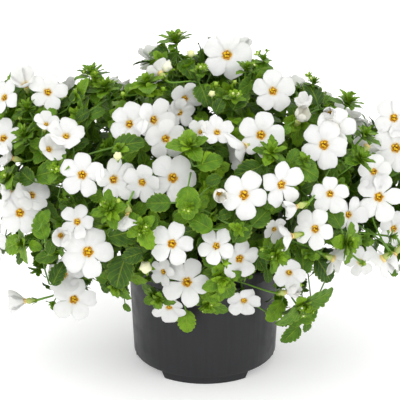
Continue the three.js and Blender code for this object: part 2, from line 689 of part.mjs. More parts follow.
// The blooms, a node for each group; a bloom in front that can't reach its group stands alone
function growBlooms(clusters, stems) {
  clusters.forEach((cluster, c) => {
    let neighbour = null;
    cluster.forEach((bloom, i) => {
      const seat = seatBloom(bloom, `blooms ${c}`, neighbour, stems);
      if (seat) neighbour = seat;
      else if (bloom.side > 0 && neighbour) seatBloom(bloom, `blooms ${c} ${i}`, null, stems);
    });
  });
  const owners = standing.map((piece) => String(piece.owner));
  return [...new Set(owners.filter((owner) => owner.startsWith('blooms')))];
}

// A bloom's place, moved by some pixels towards its neighbour in the cluster
function pulledIn(bloom, neighbour, pull) {
  const way = [neighbour.column - bloom.column, neighbour.row - bloom.row, 0];
  const step = times(unit(way), pull);
  return { ...bloom, column: bloom.column + step[0], row: bloom.row + step[1] };
}

// A leaf's outline from shoulder to shoulder round its tip, rising and then bending down
function leafOutline(long, wide, lift, halfOutline = LEAF_SIDE) {
  const side = halfOutline.map(([x, y]) => [x * long, y * wide]);
  const line = [...side.map(([x, y]) => [x, -y]), [long, 0], ...side.toReversed()];
  return line.map(([x, y]) => [x, y, x * Math.tan(radians(lift)) - (x * x * LEAF_BEND) / long]);
}

function pairBody(long, frame, at, grow) {
  const leaf = leafOutline(long + grow, long * LEAF_WIDTH + 2 * grow, PAIR_LIFT, PAIR_SIDE);
  const other = leaf.map(([x, y, z]) => [-x, -y, z]);
  const waist = STEM_TIP_RADIUS + grow;
  const triangles = [...leafTriangles(0, 4, 8), ...leafTriangles(4, 8, 8)];
  return blade([[0, -waist, 0], ...leaf, [0, waist, 0], ...other], triangles, BLADE + 2 * grow, frame, at);
}

function rosetteBody(radius, frame, at, grow) {
  const outline = [];
  for (let leaf = 0; leaf < 4; leaf += 1) {
    for (const [offset, reach] of [[-45, 0.4], [0, leaf % 2 ? 0.85 : 1.1]]) {
      const angle = radians(90 * leaf + offset);
      const flat = radius * reach + grow;
      const rise = (flat - radius * 0.4) * Math.tan(radians(ROSETTE_LIFT));
      outline.push([flat * Math.cos(angle), flat * Math.sin(angle), rise]);
    }
  }
  const triangles = [[0, 2, 4], [0, 4, 6], [0, 1, 2], [2, 3, 4], [4, 5, 6], [6, 7, 0]];
  return blade(outline, triangles, BLADE + 2 * grow, frame, at);
}

function singleLeafBody(long, frame, at, grow) {
  const leaf = leafOutline(long + grow, long * LEAF_WIDTH + 2 * grow, LEAF_LIFT);
  const waist = PETIOLE_FOOT_RADIUS + grow;
  const outline = [[0, -waist, 0], ...leaf, [0, waist, 0]].map(([x, y, z]) => [x - long / 2, y, z]);
  return blade(outline, leafTriangles(0, 8, 9), BLADE + 2 * grow, frame, at);
}

// A whorl of small leaves at each tip
function growRosettes(stems) {
  stems.forEach((stem, index) => {
    for (let attempt = 0; attempt < 6; attempt += 1) {
      const roll = radians(spread(0, 90, 21, index, attempt));
      const level = cross(stem.heading, stem.sideways);
      const up = add(times(stem.sideways, Math.cos(roll)), times(level, Math.sin(roll)));
      const radius = ROSETTE_RADIUS * spread(0.85, 1.15, 22, index) * (1 - 0.08 * attempt);
      const frame = axes(stem.heading, up);
      const body = (grow) => rosetteBody(radius, frame, stem.tip, grow);
      if (crosses(body(CLEARANCE), (piece) => piece.stem === stem)) continue;
      stand(body(0), stem.bunch);
      return;
    }
  });
}

// A pair of large leaves on some stems, a little below the tip
function growPairs(stems) {
  stems.forEach((stem, index) => {
    if (index % PAIR_EVERY > 0) return;
    const along = unit(subtract(stem.path[STEM_STEPS], stem.path[STEM_STEPS - 1]));
    const level = cross(along, stem.sideways);
    for (let attempt = 0; attempt < 10; attempt += 1) {
      const part = spread(0.1, 0.8, 24, index, attempt);
      const at = mix(stem.path[STEM_STEPS - 1], stem.path[STEM_STEPS], part);
      const roll = radians(spread(-70, 70, 25, index, attempt));
      const up = add(times(level, Math.cos(roll)), times(stem.sideways, Math.sin(roll)));
      const long = PAIR_LENGTH * spread(0.85, 1.15, 26, index) * (1 - 0.05 * attempt);
      const frame = axes(along, up);
      if (crosses(pairBody(long, frame, at, CLEARANCE), (piece) => piece.stem === stem)) continue;
      stand(pairBody(long, frame, at, 0), stem.bunch);
      return;
    }
  });
}

// Where side shoots end: every second place of a jittered net inside the crown's outline, on both sides
function sprigPlaces() {
  const places = [];
  for (const side of [1, -1]) {
    for (let i = 0; i < NET_COLUMNS; i += 2) {
      for (let j = 0; j < NET_ROWS; j += 2) {
        const column = NET_LEFT + NET_STEP * i + NET_JITTER * spread(-1, 1, 41, i, j, side + 1);
        const row = NET_TOP + NET_STEP * j + NET_JITTER * spread(-1, 1, 42, i, j, side + 1);
        const top = between(CROWN_TOP, column) + NET_MARGIN;
        const foot = between(CROWN_FOOT, column) - NET_MARGIN;
        const back = crownFront(column, row) * (spread(0.8, 0.95, 43, i, j, side + 1) - 1);
        if (top < row && row < foot) places.push({ column, row, side, back });
      }
    }
  }
  return places;
}

// Side shoots, each a stalk with a pair of leaves at its end
function growSprigs(stems) {
  sprigPlaces().forEach((place, index) => {
    SPRIG_SLIDES.some((slide, attempt) => {
      const { at } = lies(place, slide);
      const normal = unit(add(outwardAt(at), [0, 0, spread(0.1, 0.7, 45, index)]));
      const turn = radians(spread(-50, 50, 46, index, attempt));
      const level = unit(cross([0, 0, 1], normal));
      const up = add(times(level, -Math.sin(turn)), times(cross(normal, level), Math.cos(turn)));
      const frame = axes(normal, up);
      const long = SPRIG_LENGTH * spread(0.85, 1.15, 47, index);
      if (crosses(pairBody(long, frame, at, SPRIG_ROOM), () => false)) return false;
      return placesNear(stems, at, normal).some(({ from, stem }) => {
        const shoot = stalk(from, at, [PETIOLE_FOOT_RADIUS, PETIOLE_RADIUS]);
        if (crosses(shoot(CLEARANCE / 2), (piece) => piece.stem === stem)) return false;
        stand(shoot(0), stem.bunch);
        stand(pairBody(long, frame, at, 0), stem.bunch);
        return true;
      });
    });
  });
}

// The large leaves of the list, each on a petiole from the nearest stem
function growLeaves(stems) {
  FRONT_LEAVES.forEach(([column, row, wide, way], index) => {
    SHRINKS.some((shrink) => LEAF_SLIDES.some((slide) => {
      const { at, pixel } = lies({ column, row, back: 0, side: 1 }, slide);
      const normal = unit(add(outwardAt(at), [0, -0.35, 0.45 + spread(-0.25, 0.25, 31, index)]));
      const screenUp = [0, Math.sin(ELEVATION), Math.cos(ELEVATION)];
      const seen = add([Math.cos(radians(way)), 0, 0], times(screenUp, Math.sin(radians(way))));
      const frame = axes(normal, cross(normal, seen));
      const long = shrink * wide * pixel;
      if (crosses(singleLeafBody(long, frame, at, CLEARANCE), () => false)) return false;
      const base = subtract(at, times(frame.across, long * 0.45));
      return placesNear(stems, base, frame.across).some(({ from, stem }) => {
        const petiole = stalk(from, base, [PETIOLE_FOOT_RADIUS, PETIOLE_RADIUS]);
        if (crosses(petiole(CLEARANCE / 2), (piece) => piece.stem === stem)) return false;
        stand(petiole(0), stem.bunch);
        stand(singleLeafBody(long, frame, at, 0), stem.bunch);
        return true;
      });
    }));
  });
}

// One closed body of all that a node owns; hollows that the joining sealed are filled
function joined(owner) {
  const mine = standing.filter((piece) => piece.owner === owner).map((piece) => piece.body);
  const bodies = Manifold.union(mine).simplify(SLIVER).decompose();
  return bodies.reduce((best, body) => (body.volume() > best.volume() ? body : best));
}

function meshOf(name, body, material) {
  const { vertProperties, triVerts, numProp } = body.getMesh();
  const position = [];
  for (let i = 0; i < vertProperties.length; i += numProp) {
    position.push(vertProperties[i], vertProperties[i + 1], vertProperties[i + 2]);
  }
  const geometry = new THREE.BufferGeometry();
  geometry.setAttribute('position', new THREE.Float32BufferAttribute(position, 3));
  geometry.setIndex(Array.from(triVerts));
  geometry.computeVertexNormals();
  const mesh = new THREE.Mesh(geometry, material);
  mesh.name = name;
  return mesh;
}

const { stems: planned, roots } = planStems(tipsRoundThePot());
const pot = makePot();
const soil = makeSoil(roots);
stand(pot, 'pot');
stand(soil, 'soil');
const stems = growStems(planned, roots);
const bloomOwners = growBlooms(bloomClusters(), stems);
growLeaves(stems);
growRosettes(stems);
growPairs(stems);
growSprigs(stems);

const number = (i) => String(i + 1).padStart(2, '0');
const plant = new THREE.Group();
plant.add(meshOf('pot', pot, MATERIALS.plastic));
plant.add(meshOf('soil', soil, MATERIALS.soil));
roots.forEach((_, bunch) => {
  plant.add(meshOf(`leafy_stems_${number(bunch)}`, joined(bunch), MATERIALS.green));
});
bloomOwners.forEach((owner, i) => {
  plant.add(meshOf(`blooms_${number(i)}`, joined(owner), MATERIALS.petal));
});

export default plant;
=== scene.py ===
"""Potted bacopa: the look of the plant, its flowers and its pot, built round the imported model.

Lengths in the lists and rules are millimetres, and each mesh is made in metres.
"""

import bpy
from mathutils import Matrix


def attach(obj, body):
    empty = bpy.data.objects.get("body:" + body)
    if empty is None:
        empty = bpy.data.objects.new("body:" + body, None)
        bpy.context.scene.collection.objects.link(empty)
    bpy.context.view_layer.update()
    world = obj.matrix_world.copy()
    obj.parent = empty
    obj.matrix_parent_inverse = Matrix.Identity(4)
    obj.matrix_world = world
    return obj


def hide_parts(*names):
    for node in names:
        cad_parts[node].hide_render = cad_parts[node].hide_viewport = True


bl_info = {
    "name": "Potted Bacopa",
    "version": (1, 0, 0),
    "blender": (4, 5, 0),
    "location": "View3D > Sidebar > Bacopa",
    "description": "Builds a white trailing bacopa in its nursery pot",
    "category": "Object",
}

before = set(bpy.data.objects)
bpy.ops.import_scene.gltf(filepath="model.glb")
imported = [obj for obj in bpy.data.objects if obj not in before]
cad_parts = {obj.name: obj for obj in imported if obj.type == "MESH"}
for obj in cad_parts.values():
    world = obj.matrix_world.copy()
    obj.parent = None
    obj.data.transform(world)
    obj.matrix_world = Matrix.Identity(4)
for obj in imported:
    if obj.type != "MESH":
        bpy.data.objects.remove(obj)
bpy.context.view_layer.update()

import math
from bisect import bisect_right

import bpy
import numpy as np
from mathutils import Vector, kdtree

MM = 0.001

# How the photograph sees the plant: a frame 400 pixels wide, SCALE mm to a pixel at the aim
FRAME_MIDDLE = 200
SCALE = 0.61
DISTANCE = 1150
ELEVATION = math.radians(22)
AIM = (-3.05, 0, 103.7)
SENSOR = 36
VIEW = Vector((0, math.cos(ELEVATION), -math.sin(ELEVATION)))

# The crown's front, as a depth for each pixel of that frame
CROWN_DEPTH = 100
CROWN_TOP_ROW = 35
CROWN_ROWS = 290
CROWN_MIDDLE = 195
CROWN_HALF_WIDTH = 215

# The crown's outline in that frame, given as column and row, for its top and its underside
CROWN_TOP = [(-30, 96), (-12, 84), (0, 75), (15, 68), (50, 78), (90, 70), (125, 82), (150, 75), (155, 45),
             (172, 32), (190, 45), (205, 35), (227, 28), (250, 50), (262, 60), (285, 72), (310, 80),
             (335, 92), (355, 112), (375, 120), (400, 108), (416, 122), (430, 134)]
CROWN_FOOT = [(-30, 240), (0, 262), (12, 266), (35, 290), (60, 325), (88, 318), (95, 300), (128, 290),
              (140, 308), (200, 310), (215, 300), (240, 312), (262, 300), (277, 338), (312, 330),
              (318, 302), (330, 283), (345, 265), (370, 275), (400, 277), (416, 262), (430, 240)]

# Sizes of the solids that the finer pieces follow
RIM_RADIUS = 52.5
POT_HEIGHT = 74
LIP_HEIGHT = 8
WALL_TOP_RADIUS = 47.1
WALL_FOOT_RADIUS = 44.4
WALL = 1.4
FOOT_HEIGHT = 4.5
FOOT_SPREAD = 76
FEET = 3
DRAIN_HOLES = 4
DRAIN_RADIUS = 3.2
DRAIN_RING = 26
SOIL_LEVEL = 62
SOIL_MOUND = 3
SOIL_TOP = SOIL_LEVEL + SOIL_MOUND
GAP = 0.3
BLADE = 0.6
THROAT_DEPTH = 1.2
TUBE_LENGTH = 7
TUBE_END = TUBE_LENGTH + GAP + 0.1
STEM_FOOT_RADIUS = 1.2
STEM_TIP_RADIUS = 0.9
CROWN_ROOT_RADIUS = 4
ROOT_RING = 25
BUNCHES = 8
CALYX_RADIUS = 1.3
PETIOLE_RADIUS = 0.28
STEM_STEPS = 4
TIP_SINK = 3
PAIR_EVERY = 4
PAIR_LENGTH = 15
PAIR_LIFT = 25
ROSETTE_RADIUS = 7.5
ROSETTE_LIFT = 32
SPRIG_LENGTH = 18
LEAF_WIDTH = 0.82
LEAF_LIFT = 8
LEAF_BEND = 0.3
PLANT_MIDDLE = Vector((0, 0, 110))
PLANT_HALF = (130, 90, 110)
STALK_TRIES = 8
STEM_RISES = (1, 0.8, 1.2, 0.6, 1.4)
SLIDES = (0, 1.5, -1.5, 3, -3, 4.5, -4.5, 6, -6, 8, -8, 10, -10, 12, -12, 15, 18)
LEAF_SLIDES = (2, 4, 6, 8, 0, 10, 12, -2, 15, -4)
CLUSTER_PULLS = (0, 3, 6, 9)
SHRINKS = (1, 0.9, 0.8)

# How near to a corner of the solids a point has to lie (mm), the share of a shape's points that have to,
# and how many places are tried
SNAP = 0.06
MOST = 0.6
HALF = 0.5
SOME = 0.3
ROSETTE_TRIES = 6
PAIR_TRIES = 10

# The net of side shoots over both sides of the crown, in pixels of that frame
NET_LEFT = -3
NET_TOP = 38
NET_STEP = 26
NET_COLUMNS = 17
NET_ROWS = 12
NET_JITTER = 9
NET_MARGIN = 9
BACK_MARGIN = 18
SPRIG_SLIDES = (0, 2, -2, 4, -4, 7, -7, 10)

# Every open bloom that the photograph shows, a row of the list for each group that touches.
# Each has: column and row of its throat, width in pixels, turn to the right, lift of its face,
# how far it is cupped (degrees), how far it lies behind the crown's front (mm), and its points a petal.
FRONT_BLOOMS = [
    [[227, 55, 49, 5, 22, 8, 0, 3]],
    [[273, 91, 43, 5, 25, 10, 0, 2]],
    [[129, 124, 42, -18, 28, 12, 0, 2], [154, 120, 44, 30, 15, 13, 0, 2], [166, 139, 42, 15, 5, 8, 8, 2]],
    [[185, 99, 36, 25, 5, 12, 8, 2], [180, 113, 30, 20, 10, 15, 14, 1]],
    [[82, 175, 45, -8, 18, 8, 0, 2], [117, 180, 46, 33, 15, 14, 0, 2], [145, 183, 38, -10, 5, 12, 9, 1],
    [173, 178, 47, 5, 20, 5, 0, 2]],
    [[187, 282, 48, -10, 25, 8, 0, 3], [172, 244, 44, 0, 18, 5, 0, 2], [216, 246, 38, -18, 28, 10, 0, 2],
    [163, 272, 28, -30, 10, 10, 8, 1]],
    [[88, 252, 53, -3, 18, 4, 0, 3], [58, 234, 26, 10, 15, 35, 2, 1], [84, 216, 36, -10, 30, 12, 7, 1]],
    [[217, 132, 35, 8, 50, 18, 0, 2], [197, 132, 27, -40, 20, 20, 4, 1]],
    [[244, 195, 48, 0, 18, 5, 0, 3], [210, 193, 23, 10, 5, 45, 0, 1]],
    [[324, 145, 48, 0, 20, 5, 0, 3], [335, 128, 40, 10, 8, 8, 6, 2], [330, 113, 21, -10, 15, 48, 2, 1]],
    [[379, 197, 48, 0, 20, 8, 0, 3], [349, 215, 40, 33, 12, 14, 0, 2], [374, 172, 36, 10, 5, 12, 8, 1],
    [415, 196, 42, 50, 15, 10, 4, 2]],
    [[315, 229, 42, -25, 20, 12, 0, 2], [285, 238, 34, -75, -5, 24, 0, 2], [266, 226, 28, 20, 0, 18, 4, 1]],
    [[282, 185, 47, 28, 10, 10, 0, 2], [296, 207, 25, -70, -10, 34, 0, 1]],
    [[261, 135, 46, 5, 22, 10, 0, 2], [239, 150, 42, -72, -15, 10, 0, 2]],
    [[160, 73, 32, -150, 20, 18, 0, 1]],
    [[48, 92, 41, 10, 36, 14, 0, 2], [20, 83, 32, -20, 60, 34, 0, 2], [-4, 102, 38, -40, 35, 12, 0, 2]],
    [[66, 136, 39, 10, 58, 22, 0, 2], [42, 155, 31, 38, 30, 28, 0, 2], [46, 121, 27, 30, 58, 22, 6, 1]],
    [[3, 138, 42, -25, 42, 14, 0, 2], [11, 158, 28, -78, 20, 28, 0, 1]],
    [[20, 213, 43, 5, 20, 8, 0, 2], [32, 195, 37, 22, 38, 14, 3, 2], [11, 193, 28, -78, -8, 24, 2, 1],
    [-6, 240, 44, -40, 10, 10, 0, 2]],
    [[74, 300, 44, 5, 8, 8, 0, 2], [64, 275, 38, 20, 10, 12, 8, 1], [41, 261, 42, 172, 30, 10, 0, 2]],
    [[24, 301, 30, -84, 0, 34, 0, 2]],
    [[129, 216, 39, 10, -62, 10, 2, 2]],
    [[169, 308, 35, -5, -28, 14, 0, 2]],
    [[240, 259, 42, 22, 2, 8, 8, 2]],
    [[244, 301, 34, 4, -12, 14, 0, 2]],
    [[289, 273, 36, -8, -4, 18, 0, 2], [288, 292, 23, 60, 20, 42, 0, 1]],
    [[334, 259, 36, 110, -30, 14, 0, 2]],
    [[382, 259, 40, -110, -42, 14, 0, 2], [397, 254, 31, -60, -48, 28, 0, 1],
    [360, 262, 30, -165, -15, 10, 0, 1]],
    [[394, 229, 35, 20, 10, 12, 5, 2]],
    [[396, 148, 49, 0, 20, 10, 0, 3], [394, 118, 41, 5, 25, 8, 12, 2], [363, 150, 32, 160, 25, 18, 0, 1]],
    [[330, 194, 39, -5, 8, 14, 0, 2]],
    [[304, 108, 25, -20, 72, 36, 0, 1], [297, 127, 26, 30, 52, 46, 0, 1]],
]

# The leafy shoot tips that it shows: column and row of each, and 1 where its leaves are
# many and narrow, or 0 where the first ones are broad
FRONT_TIPS = [
    [176, 44, 1], [93, 77, 1], [30, 112, 1], [106, 92, 1], [148, 86, 0], [28, 138, 1], [11, 178, 0],
    [190, 148, 0], [60, 170, 0], [199, 74, 0], [246, 72, 1], [263, 62, 0], [346, 106, 1], [270, 155, 1],
    [362, 138, 1], [357, 161, 1], [304, 162, 0], [25, 243, 0], [111, 211, 1], [160, 297, 0], [190, 207, 0],
    [222, 277, 0], [345, 243, 0], [302, 320, 0], [275, 254, 1], [388, 236, 1], [208, 301, 0], [238, 229, 0],
    [119, 284, 0], [142, 228, 0], [313, 86, 1], [120, 150, 0], [234, 100, 0], [-6, 206, 0], [408, 168, 1],
]

# The large leaves that it shows: column and row of the middle, length in pixels, and the
# direction in which the leaf points there (degrees, 90 is up)
FRONT_LEAVES = [
    [12, 115, 34, 185], [44, 115, 26, 15], [81, 94, 28, 50], [52, 172, 38, 5], [26, 176, 24, 150],
    [41, 225, 30, 110], [14, 245, 28, 195], [57, 274, 26, 60], [158, 52, 22, 150], [187, 68, 26, 290],
    [174, 87, 30, 100], [128, 144, 32, 10], [204, 94, 27, 285], [239, 98, 30, 70], [264, 68, 26, 40],
    [210, 162, 28, 20], [248, 171, 28, 200], [188, 203, 34, 270], [158, 203, 26, 180], [200, 223, 28, 150],
    [241, 230, 28, 60], [272, 197, 26, 240], [261, 217, 26, 45], [313, 92, 32, 93], [306, 170, 32, 340],
    [334, 216, 28, 120], [156, 238, 30, 215], [126, 233, 38, 15], [121, 272, 36, 250], [187, 319, 26, 270],
    [303, 261, 27, 90], [275, 311, 26, 240], [308, 314, 24, 20], [290, 333, 25, 250], [324, 270, 30, 310],
    [212, 293, 28, 330],
]

# How young some of them are, by their place in the list (0 old and dark, 1 young and bright)
LEAF_AGES = {
    0: 0.55, 1: 0.5, 2: 0.15, 3: 0.35, 5: 0.5, 6: 0.6, 8: 0.1, 9: 0.2, 10: 0.15, 11: 0.2, 13: 0.15,
    14: 0.35, 17: 0.55, 20: 0.2, 23: 0.0, 25: 0.3, 26: 0.5, 27: 0.2, 28: 0.15, 29: 0.7, 30: 0.3, 31: 0.6,
    32: 0.5, 33: 0.4, 34: 0.05, 35: 0.6,
}

# The smaller leaves that it shows: as the large ones, and how young each is (0 to 1)
FRONT_SMALL_LEAVES = [
    [13, 93, 18, 200, 0.2], [109, 82, 8, 70, 0.5], [129, 87, 13, 90, 0.55], [117, 88, 15, 60, 0.2],
    [148, 82, 14, 100, 0.5], [66, 102, 17, 170, 0.15], [96, 113, 18, 20, 0.25], [88, 120, 16, 250, 0.15],
    [82, 115, 18, 200, 0.1], [78, 144, 22, 20, 0.1], [13, 171, 14, 80, 0.25], [19, 150, 16, 200, 0.55],
    [189, 126, 12, 90, 0.4], [219, 105, 19, 70, 0.1], [294, 112, 20, 95, 0.35], [294, 156, 20, 60, 0.4],
    [287, 129, 12, 60, 0.45], [217, 147, 16, 20, 0.25], [222, 152, 16, 340, 0.2],
    [20, 258, 17, 230, 0.15], [45, 217, 16, 60, 0.45], [51, 246, 17, 70, 0.2], [2, 248, 17, 230, 0.2],
    [97, 196, 20, 170, 0.55], [110, 237, 13, 90, 0.45], [132, 256, 24, 200, 0.1],
    [108, 283, 23, 240, 0.15], [122, 290, 22, 290, 0.1], [101, 277, 16, 160, 0.4],
    [127, 308, 12, 280, 0.35], [192, 297, 18, 20, 0.45], [234, 246, 19, 100, 0.35],
    [210, 258, 20, 100, 0.25], [241, 285, 18, 250, 0.2], [362, 248, 22, 300, 0.25],
    [347, 262, 17, 260, 0.15], [396, 270, 17, 0, 0.35], [307, 328, 15, 290, 0.35],
    [296, 322, 16, 200, 0.4], [285, 322, 18, 215, 0.2], [35, 246, 15, 340, 0.6], [8, 236, 16, 160, 0.55],
    [343, 226, 14, 100, 0.5], [356, 240, 15, 350, 0.35], [334, 240, 16, 190, 0.4],
    [225, 268, 13, 60, 0.5], [150, 300, 15, 200, 0.5], [170, 300, 14, 340, 0.5], [213, 180, 16, 200, 0.2],
    [108, 216, 16, 220, 0.4], [137, 201, 16, 30, 0.15], [200, 175, 16, 60, 0.3], [226, 214, 15, 20, 0.15],
    [153, 223, 16, 70, 0.3], [66, 206, 16, 330, 0.15], [28, 190, 14, 120, 0.3], [64, 150, 15, 200, 0.2],
    [90, 232, 14, 150, 0.3], [372, 243, 18, 320, 0.4], [316, 118, 17, 30, 0.4], [250, 268, 17, 250, 0.15],
    [261, 264, 18, 300, 0.2], [241, 276, 14, 210, 0.35], [268, 276, 15, 280, 0.1],
    [330, 100, 15, 25, 0.35], [337, 112, 14, 320, 0.45], [253, 85, 14, 60, 0.4], [209, 72, 15, 330, 0.3],
    [170, 62, 14, 120, 0.3], [255, 172, 18, 150, 0.15], [262, 186, 14, 240, 0.2],
    [282, 212, 16, 240, 0.15], [300, 213, 16, 290, 0.2], [319, 203, 15, 250, 0.2],
]

# The buds that it shows: column and row, width in pixels, and how far each has opened (0 to 1)
FRONT_BUDS = [
    [146, 267, 13, 0.85], [166, 67, 13, 0.9], [118, 156, 9, 0.8], [191, 54, 8, 0.7], [212, 94, 7, 0.7],
    [193, 141, 11, 0.8], [226, 263, 8, 0], [299, 285, 8, 0.1], [123, 94, 6, 0.1], [118, 201, 7, 0.2],
    [163, 89, 6, 0], [293, 279, 6, 0], [235, 82, 5, 0.2], [181, 292, 6, 0.1], [302, 311, 6, 0.1],
    [216, 84, 6, 0.1], [20, 118, 5, 0.1], [336, 246, 6, 0.1], [262, 250, 6, 0.1], [168, 300, 6, 0.1],
]

# The side that the photograph doesn't show
BACK_COLUMNS = 4
BACK_ROWS = 3
BACK_CLUSTER = 2
BACK_LEFT = 45
BACK_WIDTH = 310
BACK_TOP = 82
BACK_STEP = 78
BACK_TIP_COLUMNS = 4
BACK_TIP_ROWS = 3
BACK_TIP_LEFT = 20
BACK_TIP_WIDTH = 360
BACK_TIP_TOP = 70
BACK_TIP_STEP = 82

# The smaller flowers there, between those of the solids
MORE_COLUMNS = 10
MORE_ROWS = 6
MORE_LEFT = 20
MORE_WIDTH = 360
MORE_TOP = 108
MORE_STEP = 32
MORE_MARGIN = 10
MORE_SLIDE = -4

# A fifth of a bloom's outline in the solids: turn from the petal's middle, and reach
PETAL_OUTLINES = {
    1: ((-36, 0.62), (0, 1)),
    2: ((-36, 0.5), (-17, 0.96), (17, 0.96)),
    3: ((-36, 0.5), (-25, 0.88), (0, 1), (25, 0.88)),
}
LEAF_SIDE = ((0.3, 0.38), (0.66, 0.46), (0.69, 0.32))
PAIR_SIDE = ((0.45, 0.5),)

# The names of the numbers in each row of the list of blooms
BLOOM_KEYS = ("column", "row", "wide", "turn", "lift", "cup", "back", "points")

# Proportions of a flower of radius 1 and of a leaf of length 1, and the places of their materials
PETALS = 5
PETAL_TURN = 72
PETAL_HALF_ANGLE = 38
LOBE_MIDDLE = 0.61
LOBE_RADIUS = 0.4
PETAL_THICKNESS = 0.02
THROAT_REACH = 0.14
BOWL_RADIUS = 0.2
UNDERSIDE = 2
LEAF_HALF_WIDTH = 0.42
TOOTHLESS = 0.2
SIDE_SEEN = 0.3
PETAL, THROAT, TUBE, ANTHER = range(4)
LEAF, STEM, BUD = range(3)

# Each anther's turn, reach from the flower's axis, and height
ANTHERS = ((62, 0.1, -0.085), (118, 0.12, -0.085), (200, 0.05, -0.1), (300, 0.065, -0.1))

# The rings of a whorl: how many leaves, turn of the first, length, and how steeply they rise
BROAD_RINGS = ((2, 0, 1.5, 14), (2, 90, 1.25, 20), (4, 45, 0.85, 36), (4, 20, 0.7, 52), (4, 60, 0.55, 66),
               (3, 10, 0.42, 78))
SPIKY_RINGS = ((2, 0, 1.3, 12), (2, 90, 1.2, 20), (5, 45, 1.05, 30), (5, 20, 0.92, 44), (5, 60, 0.76, 58),
               (4, 10, 0.55, 74))

# Profiles of the turned shapes: radius and height
THROAT_PROFILE = [(0, -0.125), (0.05, -0.12), (0.1, -0.095), (0.14, -0.066), (0.17, -0.05),
                  (BOWL_RADIUS, -0.056), (0.185, -0.085), (0.13, -0.15), (0.06, -0.19), (0, -0.2)]
FURLED_PROFILE = [(0, -0.9), (0.5, -0.75), (0.86, -0.2), (0.95, 0.25), (0.72, 0.7), (0.3, 0.92), (0, 0.86)]
BEAD_PROFILE = [(0, 0), (0.62, 0.22), (1, 0.9), (0.85, 1.55), (0.4, 2.05), (0, 2.2)]
CUP_PROFILE = [(0, -8.4), (0.5, -8.3), (0.95, -7.7), (1.25, -7.1), (1.35, -6.5), (1.2, -6.55), (0, -6.7)]

# How far stalks and small leaves give way to the flowers, in mm
STALK_PUSHES = (0, 6, 12, 20, 30)
SMALL_SLIDES = (0, 3, 6, 10, 14)

# The net of shaded shoots in the middle of the crown, in pixels of the frame
INNER_LEFT = 6
INNER_TOP = 60
INNER_STEP = 20
INNER_COLUMNS = 20
INNER_ROWS = 14
INNER_MARGIN = 22

# How far flowers are cupped: seen from the side, or from where to where they get closed, deep or broad
SIDE_CUP = math.radians(30)
CLOSED_CUPS = (math.radians(38), math.radians(46))
DEEP_CUPS = (math.radians(24), math.radians(34))
BROAD_CUPS = (math.radians(15), math.radians(34))

# How far under and over a flower's middle leaves keep clear of its petals, in mm
UNDER_PETALS = -3.2
OVER_PETALS = 7

# How finely the pot and the soil are modelled, and up to which angle (degrees) edges are smooth
POT_STEPS = 96
SOIL_STEPS = 64
FOOT_STEPS = 20
FOOT_TAPER = 0.09
DRAIN_SIDES = 24
DRAIN_DEPTH = 12
POT_SMOOTH = 40
PLANT_SMOOTH = 60
SOIL_SMOOTH = 80
SHEET_MERGE = 1e-5
LATHE_MERGE = 1e-3

# The stage, in metres: each light's name, place, size and share of the main power
FLOOR_SIZE = 12
CLIP_END = 30
LIGHT_AIM = (0, 0, 0.1)
LIGHTS = (("main_light", (-0.7, -0.9, 1.5), 1.1, 1), ("side_light", (1.1, -0.6, 0.9), 0.9, 0.45),
          ("back_light", (0.2, 1.2, 1.4), 1.0, 0.5))


def draw(*keys):
    """A number from 0 to 1 that depends on its whole-number keys alone."""
    value = 2166136261
    for key in keys:
        value = (((value ^ key) & 0xFFFFFFFF) * 16777619) & 0xFFFFFFFF
        value = ((value ^ (value >> 13)) * 1540483477) & 0xFFFFFFFF
    return (value ^ (value >> 15)) / 4294967296


def spread(low, high, *keys):
    return low + (high - low) * draw(*keys)


def jitter(most, *keys):
    return spread(-most, most, *keys)


def smooth(low, high, value):
    part = min(1, max(0, (value - low) / (high - low)))
    return part * part * (3 - 2 * part)


def turned(degrees, lift=0.0):
    """The direction in which a piece faces, with no turn towards the viewer."""
    turn, lift = math.radians(degrees), math.radians(lift)
    return Vector((math.sin(turn) * math.cos(lift), -math.cos(turn) * math.cos(lift), math.sin(lift)))


def eye():
    back, up = DISTANCE * math.cos(ELEVATION), DISTANCE * math.sin(ELEVATION)
    return Vector((AIM[0], AIM[1] - back, AIM[2] + up))


def spot(column, row, y):
    """The point at depth y that the photograph shows at a pixel, and the size of a pixel there."""
    across = (column - FRAME_MIDDLE) * SCALE / DISTANCE
    upward = (FRAME_MIDDLE - row) * SCALE / DISTANCE
    ray = Vector((across, math.cos(ELEVATION) + upward * math.sin(ELEVATION),
                  -math.sin(ELEVATION) + upward * math.cos(ELEVATION)))
    reach = (y - eye()[1]) / ray[1]
    return eye() + ray * reach, SCALE * reach / DISTANCE


def seen_at(point):
    """The pixel at which the photograph shows a point, and the point's distance from the camera."""
    ray = Vector(point) - eye()
    depth = ray[1] * math.cos(ELEVATION) - ray[2] * math.sin(ELEVATION)
    rise = ray[1] * math.sin(ELEVATION) + ray[2] * math.cos(ELEVATION)
    size = SCALE * depth / DISTANCE
    return FRAME_MIDDLE + ray[0] / size, FRAME_MIDDLE - rise / size, depth


def seen_way(angle):
    """The direction, in the plane of the photograph, of an angle in it."""
    rise = math.sin(angle)
    return Vector((math.cos(angle), math.sin(ELEVATION) * rise, math.cos(ELEVATION) * rise))


def crown_front(column, row):
    """The depth at which the crown's front lies at a pixel."""
    down = min(1, max(0, (row - CROWN_TOP_ROW) / CROWN_ROWS))
    aside = abs(column - CROWN_MIDDLE) / CROWN_HALF_WIDTH
    return -CROWN_DEPTH * math.sin(2.7 * down ** 1.25) * math.sqrt(max(0.05, 1 - aside ** 2.4))


def between(line, column):
    """The row of a hand-drawn outline at a column."""
    columns = [point[0] for point in line]
    i = min(max(bisect_right(columns, column) - 1, 0), len(line) - 2)
    (c0, r0), (c1, r1) = line[i], line[i + 1]
    return r0 + (r1 - r0) * (column - c0) / (c1 - c0)


